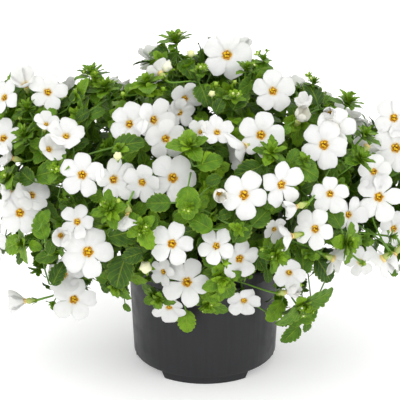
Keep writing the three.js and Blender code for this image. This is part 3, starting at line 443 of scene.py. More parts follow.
def in_outline(column, row, margin):
    return between(CROWN_TOP, column) + margin < row < between(CROWN_FOOT, column) - margin


def inside_outline(point, margin):
    """Whether the photograph's outline of the crown holds a point, for the back side as for the front."""
    column, row, _ = seen_at((point[0], -abs(point[1]), point[2]))
    return in_outline(column, row, margin)


def seat(column, row, back=0, side=1):
    """A place in the photograph, its depth behind the crown's front, and 1 for front or -1 for back."""
    return {"column": column, "row": row, "back": back, "side": side}


def lies(place, slide=0.0):
    """Where a place lies. The back side mirrors the front, but stays under the outline."""
    y = crown_front(place["column"], place["row"]) + place["back"] + slide
    point, pixel = spot(place["column"], place["row"], y)
    if place["side"] > 0:
        return point, pixel
    at = Vector((point[0], -point[1], point[2]))
    column, row, depth = seen_at(at)
    over = between(CROWN_TOP, column) + BACK_MARGIN - row
    at[2] -= max(0, over) * SCALE * depth / DISTANCE / math.cos(ELEVATION)
    return at, pixel


def outward_at(at):
    """The direction out of the plant at a point of its foliage."""
    return Vector([(at[i] - PLANT_MIDDLE[i]) / PLANT_HALF[i] for i in range(3)]).normalized()


def upward_of(face):
    """What is up for a flower that faces this way."""
    return Vector((0, 1, 0)) if abs(face[2]) > 0.9 else Vector((0, 0, 1))


class Axes:
    """A place and three directions: out along the first one given, up as near to the second as can be."""

    def __init__(self, at, out, up):
        self.at = Vector(at)
        self.out = Vector(out)
        self.across = Vector(up).cross(self.out).normalized()
        self.up = self.out.cross(self.across)

    def point(self, x, y, z):
        return self.at + self.across * x + self.up * y + self.out * z

    def matrix(self):
        return np.array([self.across, self.up, self.out]).T


def read(items, key, width=1, kind=np.int32):
    """One value of all corners or faces of a mesh, as an array."""
    values = np.empty(len(items) * width, dtype=kind)
    items.foreach_get(key, values)
    return values


class Solids:
    """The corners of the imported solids, to find what the frame holds."""

    def __init__(self):
        points = []
        self.owners = []
        for name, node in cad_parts.items():
            if name in ("pot", "soil"):
                continue
            flat = read(node.data.vertices, "co", 3, float)
            corners = np.unique(np.round(flat.reshape(-1, 3) / MM, 4), axis=0)
            points.extend(corners)
            self.owners.extend([name] * len(corners))
        self.tree = kdtree.KDTree(len(points))
        for index, point in enumerate(points):
            self.tree.insert(point, index)
        self.tree.balance()

    def holding(self, points, share):
        """The node that has enough of these points as its corners, or None."""
        found = []
        for point in points:
            _, index, distance = self.tree.find(point)
            if distance < SNAP:
                found.append(self.owners[index])
        if len(found) < share * len(points):
            return None
        return max(sorted(set(found)), key=found.count)

    def first_held(self, attempts, share=MOST, kind=""):
        """The first attempt whose corners a node of this kind holds, with the node's name, or None."""
        for found, corners in attempts:
            node = self.holding(corners, share)
            if node and node.startswith(kind):
                return {**found, "node": node}
        return None

    def all_held(self, plans, share=MOST, kind=""):
        """What the frame holds of several plans, each with its attempts."""
        found = [self.first_held(attempts, share, kind) for attempts in plans]
        return [each for each in found if each]


def bloom_corners(bloom, axes):
    """The upper corners of a bloom's solid, its throat and the foot of its tube."""
    cup = math.radians(bloom["cup"])
    half = BLADE / 2 / math.cos(cup)
    points = [axes.point(0, 0, half - THROAT_DEPTH), axes.point(0, 0, -TUBE_LENGTH)]
    for petal in range(PETALS):
        for offset, reach in PETAL_OUTLINES[bloom["points"]]:
            angle = math.radians(bloom["roll"] + PETAL_TURN * petal + offset)
            flat = bloom["radius"] * reach * math.cos(cup)
            rise = bloom["radius"] * reach * math.sin(cup)
            points.append(axes.point(flat * math.cos(angle), flat * math.sin(angle), rise + half))
    return points


def planned_blooms():
    """The blooms, front and back, in the groups that touch."""
    groups = []
    for c, row in enumerate(FRONT_BLOOMS):
        groups.append([{**dict(zip(BLOOM_KEYS, values)), "side": 1, "roll": jitter(20, 1, c, i)}
                       for i, values in enumerate(row)])
    for i in range(BACK_COLUMNS):
        for j in range(BACK_ROWS):
            column = BACK_LEFT + BACK_WIDTH * i / (BACK_COLUMNS - 1) + jitter(14, 2, i, j)
            row = BACK_TOP + BACK_STEP * j + 24 * (i % 2) + jitter(8, 3, i, j)
            start = spread(0, 360, 4, i, j)
            group = []
            for k in range(BACK_CLUSTER):
                angle = math.radians(start + 120 * k)
                group.append({
                    **seat(column + 24 * math.cos(angle), row + 22 * math.sin(angle), 0, -1),
                    "wide": spread(38, 48, 5, i, j, k),
                    "turn": (column - FRAME_MIDDLE) * 0.22 + jitter(22, 6, i, j, k),
                    "lift": 55 - row * 0.2 + jitter(15, 7, i, j, k),
                    "cup": spread(4, 16, 8, i, j, k),
                    "points": 2,
                    "roll": jitter(36, 9, i, j, k),
                })
            groups.append(group)
    for bloom in sum(groups, []):
        face = turned(bloom["turn"], bloom["lift"])
        bloom["face"] = Vector((face[0], face[1] * bloom["side"], face[2]))
    return groups


def bloom_attempts(bloom, neighbour):
    """The ways in which the solids may hold a bloom, drawn towards its neighbour if it has one."""
    for shrink in SHRINKS:
        for pull in CLUSTER_PULLS if neighbour else (0,):
            place = dict(bloom)
            if neighbour:
                way = Vector((neighbour["column"] - bloom["column"], neighbour["row"] - bloom["row"], 0))
                step = way.normalized() * pull
                place["column"] += step[0]
                place["row"] += step[1]
            for slide in SLIDES:
                at, pixel = lies(place, slide)
                axes = Axes(at, bloom["face"], upward_of(bloom["face"]))
                found = {**place, "radius": shrink * bloom["wide"] * pixel / 2, "axes": axes}
                yield found, bloom_corners(found, axes)


def standing_blooms(solids):
    """The blooms that the frame holds."""
    blooms = []
    for group in planned_blooms():
        neighbour, home = None, None
        for bloom in group:
            found = solids.first_held(bloom_attempts(bloom, neighbour), kind="blooms")
            if found:
                blooms.append(found)
                home = home or found["node"]
                if found["node"] == home:
                    neighbour = found
    return blooms


def angle_from(middle, point):
    return math.atan2(point[1] - middle[1], point[0] - middle[0])


def planned_stems():
    """The stems, front and back, in bunches round the pot, each with its foot and its tip."""
    tips = [{**seat(column, row, TIP_SINK), "spiky": spiky} for column, row, spiky in FRONT_TIPS]
    for i in range(BACK_TIP_COLUMNS):
        for j in range(BACK_TIP_ROWS):
            column = BACK_TIP_LEFT + BACK_TIP_WIDTH * i / (BACK_TIP_COLUMNS - 1) + jitter(14, 11, i, j)
            row = BACK_TIP_TOP + BACK_TIP_STEP * j + jitter(12, 12, i, j)
            tips.append({**seat(column, row, TIP_SINK, -1), "spiky": (i + j) % 2})
    for tip in tips:
        tip["tip"] = lies(tip)[0]
    points = sorted(tips, key=lambda tip: angle_from((0, 0), tip["tip"]))
    per_bunch = math.ceil(len(points) / BUNCHES)
    stems, roots = [], []
    for bunch in range(BUNCHES):
        mine = points[bunch * per_bunch:(bunch + 1) * per_bunch]
        total = Vector((0, 0, 0))
        for tip in mine:
            total += Vector((tip["tip"][0], tip["tip"][1], 0)).normalized()
        root = total.normalized() * ROOT_RING
        roots.append(root)
        mine.sort(key=lambda tip: angle_from(root, tip["tip"]))
        first = angle_from(root, mine[0]["tip"])
        for i, tip in enumerate(mine):
            angle = first + 2 * math.pi * i / len(mine)
            lean = Vector((math.cos(angle), math.sin(angle), 0)) * (CROWN_ROOT_RADIUS - STEM_FOOT_RADIUS)
            stems.append({**tip, "foot": root + lean + Vector((0, 0, SOIL_TOP)), "bunch": bunch})
    return stems, roots


def bezier(points, part):
    a, b, c, d = points
    rest = 1 - part
    return a * rest ** 3 + b * (3 * rest * rest * part) + c * (3 * rest * part * part) + d * part ** 3


def curve(handles, steps):
    return [bezier(handles, i / steps) for i in range(steps + 1)]


def stem_way(foot, tip, rise):
    """A stem's way from its hole in the soil, up and over to its tip."""
    outward = Vector((tip[0], tip[1], 0)).normalized()
    droop = math.radians(min(80, max(-55, (tip[2] - 97) * 0.9)))
    heading = outward * math.cos(droop) + Vector((0, 0, math.sin(droop)))
    far = (tip - foot).length
    up = (max(tip[2], 118) - foot[2]) * 0.6 * rise
    handles = (foot, foot + outward * far * 0.12 + Vector((0, 0, up)), tip - heading * far * 0.35, tip)
    return {"handles": handles, "path": curve(handles, STEM_STEPS), "heading": heading,
            "sideways": Vector((-outward[1], outward[0], 0))}


def ring(path, i, radius, reference):
    """The three corners of a rod's solid at one point of its path."""
    along = (path[min(len(path) - 1, i + 1)] - path[max(0, i - 1)]).normalized()
    first = (reference - along * reference.dot(along)).normalized()
    second = along.cross(first)
    turns = [2 * math.pi * k / 3 for k in range(3)]
    return [path[i] + first * radius * math.cos(a) + second * radius * math.sin(a) for a in turns]


def stem_attempts(stem):
    """The ways in which the solids may hold a stem."""
    for rise in STEM_RISES:
        way = stem_way(stem["foot"], stem["tip"], rise)
        corners = []
        for i in range(1, STEM_STEPS):
            radius = STEM_FOOT_RADIUS + (STEM_TIP_RADIUS - STEM_FOOT_RADIUS) * i / STEM_STEPS
            corners += ring(way["path"], i, radius, way["sideways"])
        yield {**stem, **way}, corners


def places_near(stems, point, arrive):
    """The places on the stems that suit a stalk to a point best."""
    places = []
    for stem in stems:
        for i in range(1, STEM_STEPS):
            for part in (0.1, 0.4, 0.7):
                start = stem["path"][i].lerp(stem["path"][i + 1], part)
                way = point - start
                places.append((way.length * 1.5 - way.dot(arrive), len(places), start, stem))
    places.sort(key=lambda place: place[:2])
    return [place[2:] for place in places[:STALK_TRIES]]


def stalk_between(stems, point, arrive, radius, solids):
    """The place on a stem from which the frame's stalk to a point grows, and the stem."""
    places = places_near(stems, point, arrive)
    for start, stem in places:
        line = [abs(value) for value in point - start]
        reference = Vector((0, 0, 0))
        reference[line.index(min(line))] = 1
        if solids.holding(ring([start, point], 1, radius, reference), SOME) == stem["node"]:
            return start, stem
    return places[0]


def leaf_corners(axes, long, lift, half_outline, start=0.0, way=1):
    """The upper corners of a leaf's solid, from its start along the axes or, with way -1, against them."""
    side = [(x * long, y * (long * LEAF_WIDTH)) for x, y in half_outline]
    line = [(x, -y) for x, y in side] + [(long, 0)] + side[::-1]
    rise = math.tan(math.radians(lift))
    return [axes.point(way * (x + start), way * y, x * rise - x * x * LEAF_BEND / long + BLADE / 2)
            for x, y in line]


def leaf_attempts(index, column, row, wide, way):
    """The ways in which the solids may hold a large leaf of the list."""
    for shrink in SHRINKS:
        for slide in LEAF_SLIDES:
            at, pixel = lies(seat(column, row), slide)
            tilt = 0.45 + jitter(0.25, 31, index)
            normal = (outward_at(at) + Vector((0, -0.35, tilt))).normalized()
            axes = Axes(at, normal, normal.cross(seen_way(math.radians(way))))
            long = shrink * wide * pixel
            yield {"axes": axes, "long": long}, leaf_corners(axes, long, LEAF_LIFT, LEAF_SIDE, -long / 2)


def rosette_attempts(index, stem):
    """The ways in which the solids may hold the whorl at a stem's tip."""
    level = stem["heading"].cross(stem["sideways"])
    for attempt in range(ROSETTE_TRIES):
        roll = math.radians(spread(0, 90, 21, index, attempt))
        radius = ROSETTE_RADIUS * spread(0.85, 1.15, 22, index) * (1 - 0.08 * attempt)
        upward = stem["sideways"] * math.cos(roll) + level * math.sin(roll)
        axes = Axes(stem["tip"], stem["heading"], upward)
        corners = []
        for leaf in range(4):
            for offset, reach in ((-45, 0.4), (0, 0.85 if leaf % 2 else 1.1)):
                angle = math.radians(90 * leaf + offset)
                flat = radius * reach
                rise = (flat - radius * 0.4) * math.tan(math.radians(ROSETTE_LIFT))
                corners.append(axes.point(flat * math.cos(angle), flat * math.sin(angle), rise + BLADE / 2))
        yield {"axes": axes, "radius": radius, "stem": stem}, corners


def standing_rosettes(stems, solids):
    """The whorls at the tips: the frame of each that the solids hold, and of the rest as planned."""
    whorls = []
    for index, stem in enumerate(stems):
        attempts = list(rosette_attempts(index, stem))
        last = attempts[-1][0]
        whorls.append(solids.first_held(attempts) or {**last, "radius": last["radius"] * 0.8})
    return whorls


def pair_attempts(index, stem):
    """The ways in which the solids may hold a pair's leaf near a stem's tip."""
    before, after = stem["path"][-2:]
    along = (after - before).normalized()
    level = along.cross(stem["sideways"])
    for attempt in range(PAIR_TRIES):
        at = before.lerp(after, spread(0.1, 0.8, 24, index, attempt))
        roll = math.radians(jitter(70, 25, index, attempt))
        long = PAIR_LENGTH * spread(0.85, 1.15, 26, index) * (1 - 0.05 * attempt)
        axes = Axes(at, along, level * math.cos(roll) + stem["sideways"] * math.sin(roll))
        yield {"axes": axes, "long": long, "stem": stem}, leaf_corners(axes, long, PAIR_LIFT, PAIR_SIDE)


def sprig_attempts(index, place):
    """The ways in which the solids may hold a side shoot's pair of leaves."""
    for attempt, slide in enumerate(SPRIG_SLIDES):
        at, _ = lies(place, slide)
        normal = (outward_at(at) + Vector((0, 0, spread(0.1, 0.7, 45, index)))).normalized()
        turn = math.radians(jitter(50, 46, index, attempt))
        level = Vector((0, 0, 1)).cross(normal).normalized()
        axes = Axes(at, normal, level * -math.sin(turn) + normal.cross(level) * math.cos(turn))
        long = SPRIG_LENGTH * spread(0.85, 1.15, 47, index)
        corners = leaf_corners(axes, long, PAIR_LIFT, PAIR_SIDE)
        corners += leaf_corners(axes, long, PAIR_LIFT, PAIR_SIDE, way=-1)
        yield {**place, "axes": axes, "long": long, "at": axes.at}, corners


def net_places(solids):
    """Where side shoots end: a jittered net inside the crown's outline, over both sides.

    Every second place is far out, and the solids have a pair of leaves at some of these.
    """
    places = []
    index = 0
    for side in (1, -1):
        for i in range(NET_COLUMNS):
            for j in range(NET_ROWS):
                keys = (i, j, side + 1)
                column = NET_LEFT + NET_STEP * (i + 0.5 * (j % 2)) + NET_JITTER * jitter(1, 41, *keys)
                row = NET_TOP + NET_STEP * j + NET_JITTER * jitter(1, 42, *keys)
                if not in_outline(column, row, NET_MARGIN):
                    continue
                held = i % 2 == 0 and j % 2 == 0
                aside = min(1, abs(column - CROWN_MIDDLE) / CROWN_HALF_WIDTH)
                inmost = 0.55 - 0.6 * aside ** 3
                share = spread(0.8, 0.95, 43, *keys) if held else spread(inmost, 0.9, 44, *keys)
                place = seat(column, row, -crown_front(column, row) * (1 - share), side)
                place["at"] = lies(place)[0]
                if held:
                    place = solids.first_held(sprig_attempts(index, place)) or place
                    index += 1
                places.append(place)
    return places


class Form:
    """A small shape that is modelled once, as numbers that can be copied."""

    def __init__(self, obj):
        mesh = obj.data
        self.co = read(mesh.vertices, "co", 3, float).reshape(-1, 3)
        self.loops = read(mesh.loops, "vertex_index")
        self.sizes = read(mesh.polygons, "loop_total")
        self.uv = np.zeros(len(mesh.loops) * 2)
        if mesh.uv_layers:
            self.uv = read(mesh.uv_layers.active.data, "uv", 2, float)
        bpy.data.objects.remove(obj)
        bpy.data.meshes.remove(mesh)


class Bunch:
    """Copies of forms that end as one mesh."""

    def __init__(self):
        self.co, self.loops, self.sizes, self.slots, self.uv, self.tones = [], [], [], [], [], []
        self.count = 0

    def add(self, co, loops, sizes, uv, tone, slot):
        self.co.append(co)
        self.loops.append(loops + self.count)
        self.sizes.append(sizes)
        self.slots.append(np.full(len(sizes), slot, dtype=np.int32))
        self.uv.append(uv)
        self.tones.append(np.full(len(co), tone))
        self.count += len(co)

    def place(self, form, axes, scale, tone, slot):
        """Adds a copy of a form, scaled along its own axes or as a whole, turned and put in place."""
        self.put(form, form.co * np.array(scale), axes, tone, slot)

    def put(self, form, co, axes, tone, slot):
        """Adds a form whose corners were moved, turned and put in place."""
        self.add(co @ axes.matrix().T + np.array(axes.at), form.loops, form.sizes, form.uv, tone, slot)

    def tube(self, path, radii, sides, tone, slot):
        """Adds a slim tube along a path, round and closed at both ends."""
        co, reference = [], Vector((0.31, 0.53, 0.79))
        for i, point in enumerate(path):
            along = (path[min(len(path) - 1, i + 1)] - path[max(0, i - 1)]).normalized()
            reference = (reference - along * reference.dot(along)).normalized()
            second = along.cross(reference)
            for k in range(sides):
                angle = 2 * math.pi * k / sides
                co.append(point + (reference * math.cos(angle) + second * math.sin(angle)) * radii[i])
        loops, uv = [], []
        for i in range(len(path) - 1):
            for k in range(sides):
                after = (k + 1) % sides
                loops += [i * sides + k, i * sides + after, (i + 1) * sides + after, (i + 1) * sides + k]
                uv += [k / sides, i, (k + 1) / sides, i, (k + 1) / sides, i + 1, k / sides, i + 1]
        last = (len(path) - 1) * sides
        loops += [sides - 1 - k for k in range(sides)] + [last + k for k in range(sides)]
        uv += [0.5, 0.0] * (2 * sides)
        sizes = [4] * last + [sides, sides]
        self.add(np.array(co), np.array(loops, dtype=np.int32), np.array(sizes, dtype=np.int32),
                 np.array(uv, dtype=float), tone, slot)

    def mesh(self, name, materials):
        """Makes the mesh of all copies, in metres."""
        sizes = np.concatenate(self.sizes)
        starts = np.concatenate([[0], np.cumsum(sizes)[:-1]]).astype(np.int32)
        co, loops = np.concatenate(self.co) * MM, np.concatenate(self.loops)
        mesh = bpy.data.meshes.new(name)
        mesh.vertices.add(len(co))
        mesh.loops.add(len(loops))
        mesh.polygons.add(len(sizes))
        mesh.vertices.foreach_set("co", co.ravel())
        mesh.loops.foreach_set("vertex_index", loops)
        mesh.polygons.foreach_set("loop_start", starts)
        mesh.polygons.foreach_set("material_index", np.concatenate(self.slots))
        mesh.uv_layers.new(name="Surface")
        mesh.uv_layers[0].data.foreach_set("uv", np.concatenate(self.uv).ravel())
        tone = mesh.attributes.new("tone", "FLOAT", "POINT")
        tone.data.foreach_set("value", np.concatenate(self.tones))
        mesh.update(calc_edges=True)
        mesh.validate()
        mesh.shade_smooth()
        for material in materials:
            mesh.materials.append(material)
        return mesh


def deselect():
    if bpy.context.object and bpy.context.object.mode != "OBJECT":
        bpy.ops.object.mode_set(mode="OBJECT")
    bpy.ops.object.select_all(action="DESELECT")


def take(obj):
    """Makes an object the only one that is selected."""
    deselect()
    obj.select_set(True)
    bpy.context.view_layer.objects.active = obj


def new_object(name, data):
    obj = bpy.data.objects.new(name, data)
    bpy.context.scene.collection.objects.link(obj)
    take(obj)
    return obj


def finish_piece(obj, nodes, smooth_below):
    """Gives a piece its shading and its place in the model."""
    take(obj)
    bpy.ops.object.shade_smooth_by_angle(angle=math.radians(smooth_below))
    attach(obj, "root")
    if nodes:
        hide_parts(*nodes)


def piece(name, bunch, materials, slot, *nodes):
    """Makes the object of a bunch, which rides on the plant and stands for its nodes."""
    finish_piece(new_object(name, bunch.mesh(name, materials)), nodes, PLANT_SMOOTH)


def apply_modifier(obj, kind, **settings):
    bpy.context.view_layer.objects.active = obj
    bpy.ops.object.modifier_add(type=kind)
    modifier = obj.modifiers[-1]
    for key, value in settings.items():
        setattr(modifier, key, value)
    bpy.ops.object.modifier_apply(modifier=modifier.name)


def reshape(obj, rule):
    """Moves each corner of an object by a rule of its place."""
    for vertex in obj.data.vertices:
        vertex.co = rule(*vertex.co)


def sheet_form(columns, rows, shape, thickness):
    """Models a thin leaf or petal: a grid that a rule of across (-1 to 1) and along (0 to 1) shapes."""
    deselect()
    bpy.ops.mesh.primitive_grid_add(x_subdivisions=columns, y_subdivisions=rows, size=2)
    obj = bpy.context.object
    inner = [v.index for v in obj.data.vertices if max(abs(v.co[0]), abs(v.co[1])) < 0.999]
    reshape(obj, lambda x, y, z: shape(x, (y + 1) / 2))
    body = obj.vertex_groups.new(name="body")
    body.add(inner, 1, "REPLACE")
    if sum(polygon.normal[2] * polygon.area for polygon in obj.data.polygons) < 0:
        obj.data.flip_normals()
    apply_modifier(obj, "SOLIDIFY", thickness=thickness, offset=-1, vertex_group=body.name, use_rim=False)
    bpy.ops.object.mode_set(mode="EDIT")
    bpy.ops.mesh.select_all(action="SELECT")
    bpy.ops.mesh.remove_doubles(threshold=SHEET_MERGE)
    bpy.ops.object.mode_set(mode="OBJECT")
    return Form(obj)


def spin(steps, angle, cap=False):
    """Spins the active outline round the upright axis and closes what it sweeps."""
    bpy.ops.object.mode_set(mode="EDIT")
    bpy.ops.mesh.select_all(action="SELECT")
    if cap:
        bpy.ops.mesh.duplicate()
    bpy.ops.mesh.spin(steps=steps, angle=angle, center=(0, 0, 0), axis=(0, 0, 1), use_auto_merge=True)
    bpy.ops.mesh.select_all(action="SELECT")
    bpy.ops.mesh.remove_doubles(threshold=LATHE_MERGE)
    bpy.ops.mesh.normals_make_consistent(inside=False)
    bpy.ops.object.mode_set(mode="OBJECT")


def lathe(profile, steps, name="turned"):
    """Models a turned shape from its profile of (radius, height), spun round its own axis."""
    mesh = bpy.data.meshes.new(name)
    mesh.from_pydata([(r, 0, z) for r, z in profile], [(i, i + 1) for i in range(len(profile) - 1)], [])
    obj = new_object(name, mesh)
    spin(steps, 2 * math.pi)
    return obj


def petal_form(variant):
    """Models one petal of a flower of radius 1, with its middle line along X."""
    phase = spread(0, 2 * math.pi, 51, variant)
    nick = spread(0.0, 0.07, 52, variant)
    twist = spread(0.02, 0.08, 53, variant)
    curl = spread(0.0, 0.17, 56, variant)
    wave = spread(0.02, 0.08, 57, variant)
    lobe = spread(0.92, 1.06, 58, variant) * LOBE_RADIUS
    lean = jitter(3, 50, variant)
    slack = spread(0.9, 1.0, 49, variant)

    def shape(across, along):
        degrees = PETAL_HALF_ANGLE * math.copysign(abs(across) ** 0.8, across)
        side = LOBE_MIDDLE * math.sin(math.radians(degrees))
        edge = LOBE_MIDDLE * math.cos(math.radians(degrees)) + math.sqrt(max(0, lobe ** 2 - side ** 2))
        edge -= nick * math.exp(-(degrees / 6) ** 2) + 0.017 * math.sin(8 * across + phase)
        reach = THROAT_REACH + (edge - THROAT_REACH) * along
        angle = math.radians(degrees * (1 - (1 - slack) * smooth(0.15, 0.55, along)) + lean * along)
        rise = -0.08 * math.exp(-((reach - THROAT_REACH) / 0.12) ** 2) - curl * reach ** 4
        rise += twist * across * reach + wave * reach ** 2 * math.sin(3.4 * across + phase)
        rise -= 0.022 * math.exp(-(degrees / 6) ** 2) * math.sin(math.pi * min(1, reach))
        rise += 0.024 * math.sin(6.5 * across + 2 * phase) * smooth(0.5, 1, reach)
        return Vector((reach * math.cos(angle), reach * math.sin(angle), rise))

    return sheet_form(8, 4, shape, PETAL_THICKNESS)


def leaf_form(columns, rows, variant, thickness, tooth_rows, width):
    """Models one toothed leaf of length 1, from its base at the middle of the axes along X."""
    phase = spread(0, 2 * math.pi, 54, variant)

    def shape(across, along):
        half = width * math.sin(math.pi * along ** 0.87) ** 0.54 if 0 < along < 1 else 0.02
        place = along
        row = round(along * rows)
        if abs(across) > 0.99 and TOOTHLESS * rows < row < rows:
            tooth = (row - rows) % tooth_rows / tooth_rows
            half *= 1.03 if tooth else 0.88
            place += (0.75 * tooth - 0.25) / rows
        rise = along * math.tan(math.radians(LEAF_LIFT)) - LEAF_BEND * along ** 2
        rise += 0.12 * abs(across) * half / LEAF_HALF_WIDTH
        rise -= 0.05 * across ** 2
        rise += 0.022 * math.sin(5.2 * along + phase) * across
        rise -= 0.02 * math.cos(2 * math.pi * (along * 4 - abs(across) * 0.9)) * smooth(0, 0.3, abs(across))
        return Vector((place, half * across, rise))

    return sheet_form(columns, rows, shape, thickness)


def leaf_forms(columns, rows, thickness, tooth_rows, widths):
    return [leaf_form(columns, rows, k, thickness, tooth_rows, width) for k, width in enumerate(widths)]


def sepal_form():
    """Models one thin pointed sepal, from the foot of the calyx to beside the tube, in mm."""
    def shape(across, along):
        half = 0.62 * (1 - along) ** 0.7 + 0.04
        out = 1.2 + 1.3 * along ** 1.6 - 0.12 * across ** 2
        return Vector((out, half * across, -7.7 + 3.3 * along))

    return sheet_form(2, 4, shape, 0.22)


def throat_form():
    """Models the golden bowl of the throat of a flower of radius 1, with a lumpy rim."""
    obj = lathe(THROAT_PROFILE, 14)
    mesh = obj.data

    def shape(x, y, z):
        angle = math.atan2(y, x)
        lump = 0.016 * math.cos(5 * angle) * smooth(0.05, 0.15, math.hypot(x, y))
        uneven = 1 + 0.07 * math.sin(2 * angle + 0.6) + 0.05 * math.sin(3 * angle)
        return x * uneven, y * uneven * 1.12, z + (lump if z > -0.13 else 0)

    reshape(obj, shape)
    mesh.update()
    layer = mesh.uv_layers.new(name="Surface")
    for face in mesh.polygons:
        for number in face.loop_indices:
            x, y, _ = mesh.vertices[mesh.loops[number].vertex_index].co
            out = math.hypot(x, y) / BOWL_RADIUS if face.normal[2] > -0.05 else UNDERSIDE
            layer.data[number].uv = (0.5 + 0.5 * x / BOWL_RADIUS, out)
    return Form(obj)


def furled_form():
    """Models a flower that hasn't opened yet: a five-lobed ball of folded petals of radius 1."""
    obj = lathe(FURLED_PROFILE, 20)

    def shape(x, y, z):
        lobe = 1 + 0.13 * math.cos(PETALS * (math.atan2(y, x) + 0.5 * z)) * smooth(-0.8, 0, z)
        return x * lobe, y * lobe, z

    reshape(obj, shape)
    return Form(obj)


class Kit:
    """The forms that the plant is put together from, each modelled once."""

    def __init__(self):
        self.petals = [petal_form(k) for k in range(6)]
        self.throat = throat_form()
        self.anther = Form(lathe(BEAD_PROFILE, 6))
        self.furled = furled_form()
        self.large = leaf_forms(4, 18, 0.03, 3, (0.4, 0.36, 0.38, 0.35))
        self.middle = leaf_forms(2, 9, 0.03, 2, (0.4, 0.35, 0.38, 0.32))
        self.small = leaf_forms(2, 6, 0.05, 2, (0.3, 0.3))
        self.slim = leaf_forms(2, 6, 0.06, 2, (0.2, 0.2))
        self.sepal = sepal_form()
        self.cup = Form(lathe(CUP_PROFILE, 8))
        self.bead = Form(lathe(BEAD_PROFILE, 8))


def tilted(axes, at, turn, lift=0.0):
    """Axes at a place whose across is the given turn round the old out, lifted towards it."""
    turn, lift = math.radians(turn), math.radians(lift)
    flat = axes.across * math.cos(turn) + axes.up * math.sin(turn)
    across = flat * math.cos(lift) + axes.out * math.sin(lift)
    side = axes.up * math.cos(turn) - axes.across * math.sin(turn)
    return Axes(at, across.cross(side), side)


class Crown:
    """Where the blooms are, to keep leaves from standing in or in front of them."""

    def __init__(self, blooms):
        self.at = np.array([b["axes"].at for b in blooms])
        self.out = np.array([b["axes"].out for b in blooms])
        self.radius = np.array([b["radius"] for b in blooms])
        self.front = np.array([b["side"] > 0 for b in blooms])
        pixels = np.array([seen_at(b["axes"].at) for b in blooms])
        self.pixel, self.depth = pixels[:, :2], pixels[:, 2]
        self.turned = np.abs(self.out @ np.array(VIEW))

    def clear(self, point, reach):
        """Whether a leaf at a point is clear of the petals and hides no bloom in the photograph's view."""
        way = np.array(point) - self.at
        height = np.sum(way * self.out, axis=1)
        flat = np.sqrt(np.maximum(np.sum(way * way, axis=1) - height ** 2, 0))
        if np.any((flat < self.radius + reach) & (height > UNDER_PETALS) & (height < OVER_PETALS)):
            return False
        column, row, depth = seen_at(point)
        apart = np.hypot(self.pixel[:, 0] - column, self.pixel[:, 1] - row) * SCALE * depth / DISTANCE
        room = self.radius * (0.35 + 0.6 * self.turned) + reach * 0.8
        return not np.any(self.front & (apart < room) & (depth < self.depth + 1))


def add_bloom(bunch, bloom, index, kit):
    """One flower: five overlapping petals, its throat and tube, and four anthers."""
    axes, radius, cup = bloom["axes"], bloom["radius"], math.radians(bloom["cup"])
    if abs(axes.out.dot(VIEW)) < SIDE_SEEN:
        cup = max(cup, SIDE_CUP)
    closed, deep = smooth(*CLOSED_CUPS, cup), smooth(*DEEP_CUPS, cup)
    fuller = 1 + 0.32 * deep + 0.08 * closed
    broad = spread(0.96, 1.17, 70, index) * (1 + 0.3 * smooth(*BROAD_CUPS, cup))
    start = 0.6 * cup * (1 - 0.8 * closed)
    for k in range(PETALS):
        form = kit.petals[int(len(kit.petals) * draw(61, index, k))]
        angle = math.radians(bloom["roll"] + PETAL_TURN * k + jitter(4, 62, index, k))
        narrow = spread(0.94, 1.06, 68, index, k) * broad
        co = form.co * radius * fuller * np.array((1, narrow, 1)) * spread(1.0, 1.11, 63, index, k)
        reach = np.hypot(co[:, 0], co[:, 1]) / radius
        bend = 0.8 * cup * (1 + 1.3 * deep) + 0.06 * jitter(1, 64, index, k)
        bend = (bend * (1 - closed) + 2 * closed) / fuller
        inward = (np.sin(start + bend * reach) - math.sin(start)) / bend
        co[:, 2] += radius * (math.cos(start) - np.cos(start + bend * reach)) / bend
        co[:, :2] *= (inward / reach)[:, None]
        turn = np.array([[math.cos(angle), -math.sin(angle)], [math.sin(angle), math.cos(angle)]])
        co[:, :2] = co[:, :2] @ turn.T
        bunch.put(form, co, axes, spread(0, 1, 65, index, k) + closed, PETAL)
    roll = math.radians(bloom["roll"])
    level = Axes(axes.at, axes.out, axes.up * math.cos(roll) - axes.across * math.sin(roll))
    bunch.place(kit.throat, level, radius, spread(0, 1, 66, index), THROAT)
    tube = [axes.point(0, 0, z) for z in (-0.155 * radius, -0.18 * radius, -3.2, -4.6, -5.8, -TUBE_LENGTH)]
    bunch.tube(tube, [0.125 * radius, 0.17 * radius, 2.0, 1.5, 1.25, 1.05], 9, draw(69, index), TUBE)
    for k, (turn, out, rise) in enumerate(ANTHERS):
        angle = roll + math.radians(turn + jitter(20, 60, index, k))
        reach = radius * out * spread(0.8, 1.2, 58, index, k)
        at = axes.point(reach * math.cos(angle), reach * math.sin(angle), rise * radius)
        size = radius * spread(0.038, 0.055, 59, index, k)
        shape = (size * 1.3, size, size * 0.8)
        bunch.place(kit.anther, tilted(axes, at, 50 * k), shape, draw(67, index, k), ANTHER)


def add_calyx(bunch, axes, index, kit):
    """The green cup and five sepals that hold a flower's tube."""
    tone = spread(0.45, 0.9, 71, index)
    bunch.place(kit.cup, axes, 1, tone, LEAF)
    for k in range(PETALS):
        turn = PETAL_TURN * k + jitter(8, 72, index, k)
        bunch.place(kit.sepal, tilted(axes, axes.at, turn), 1, tone, LEAF)


def add_leaf(bunch, forms, axes, at, turn, lift, long, tone, key):
    """One leaf that grows from a place in the given direction."""
    bunch.place(forms[key % len(forms)], tilted(axes, at, turn, lift), long, tone, LEAF)


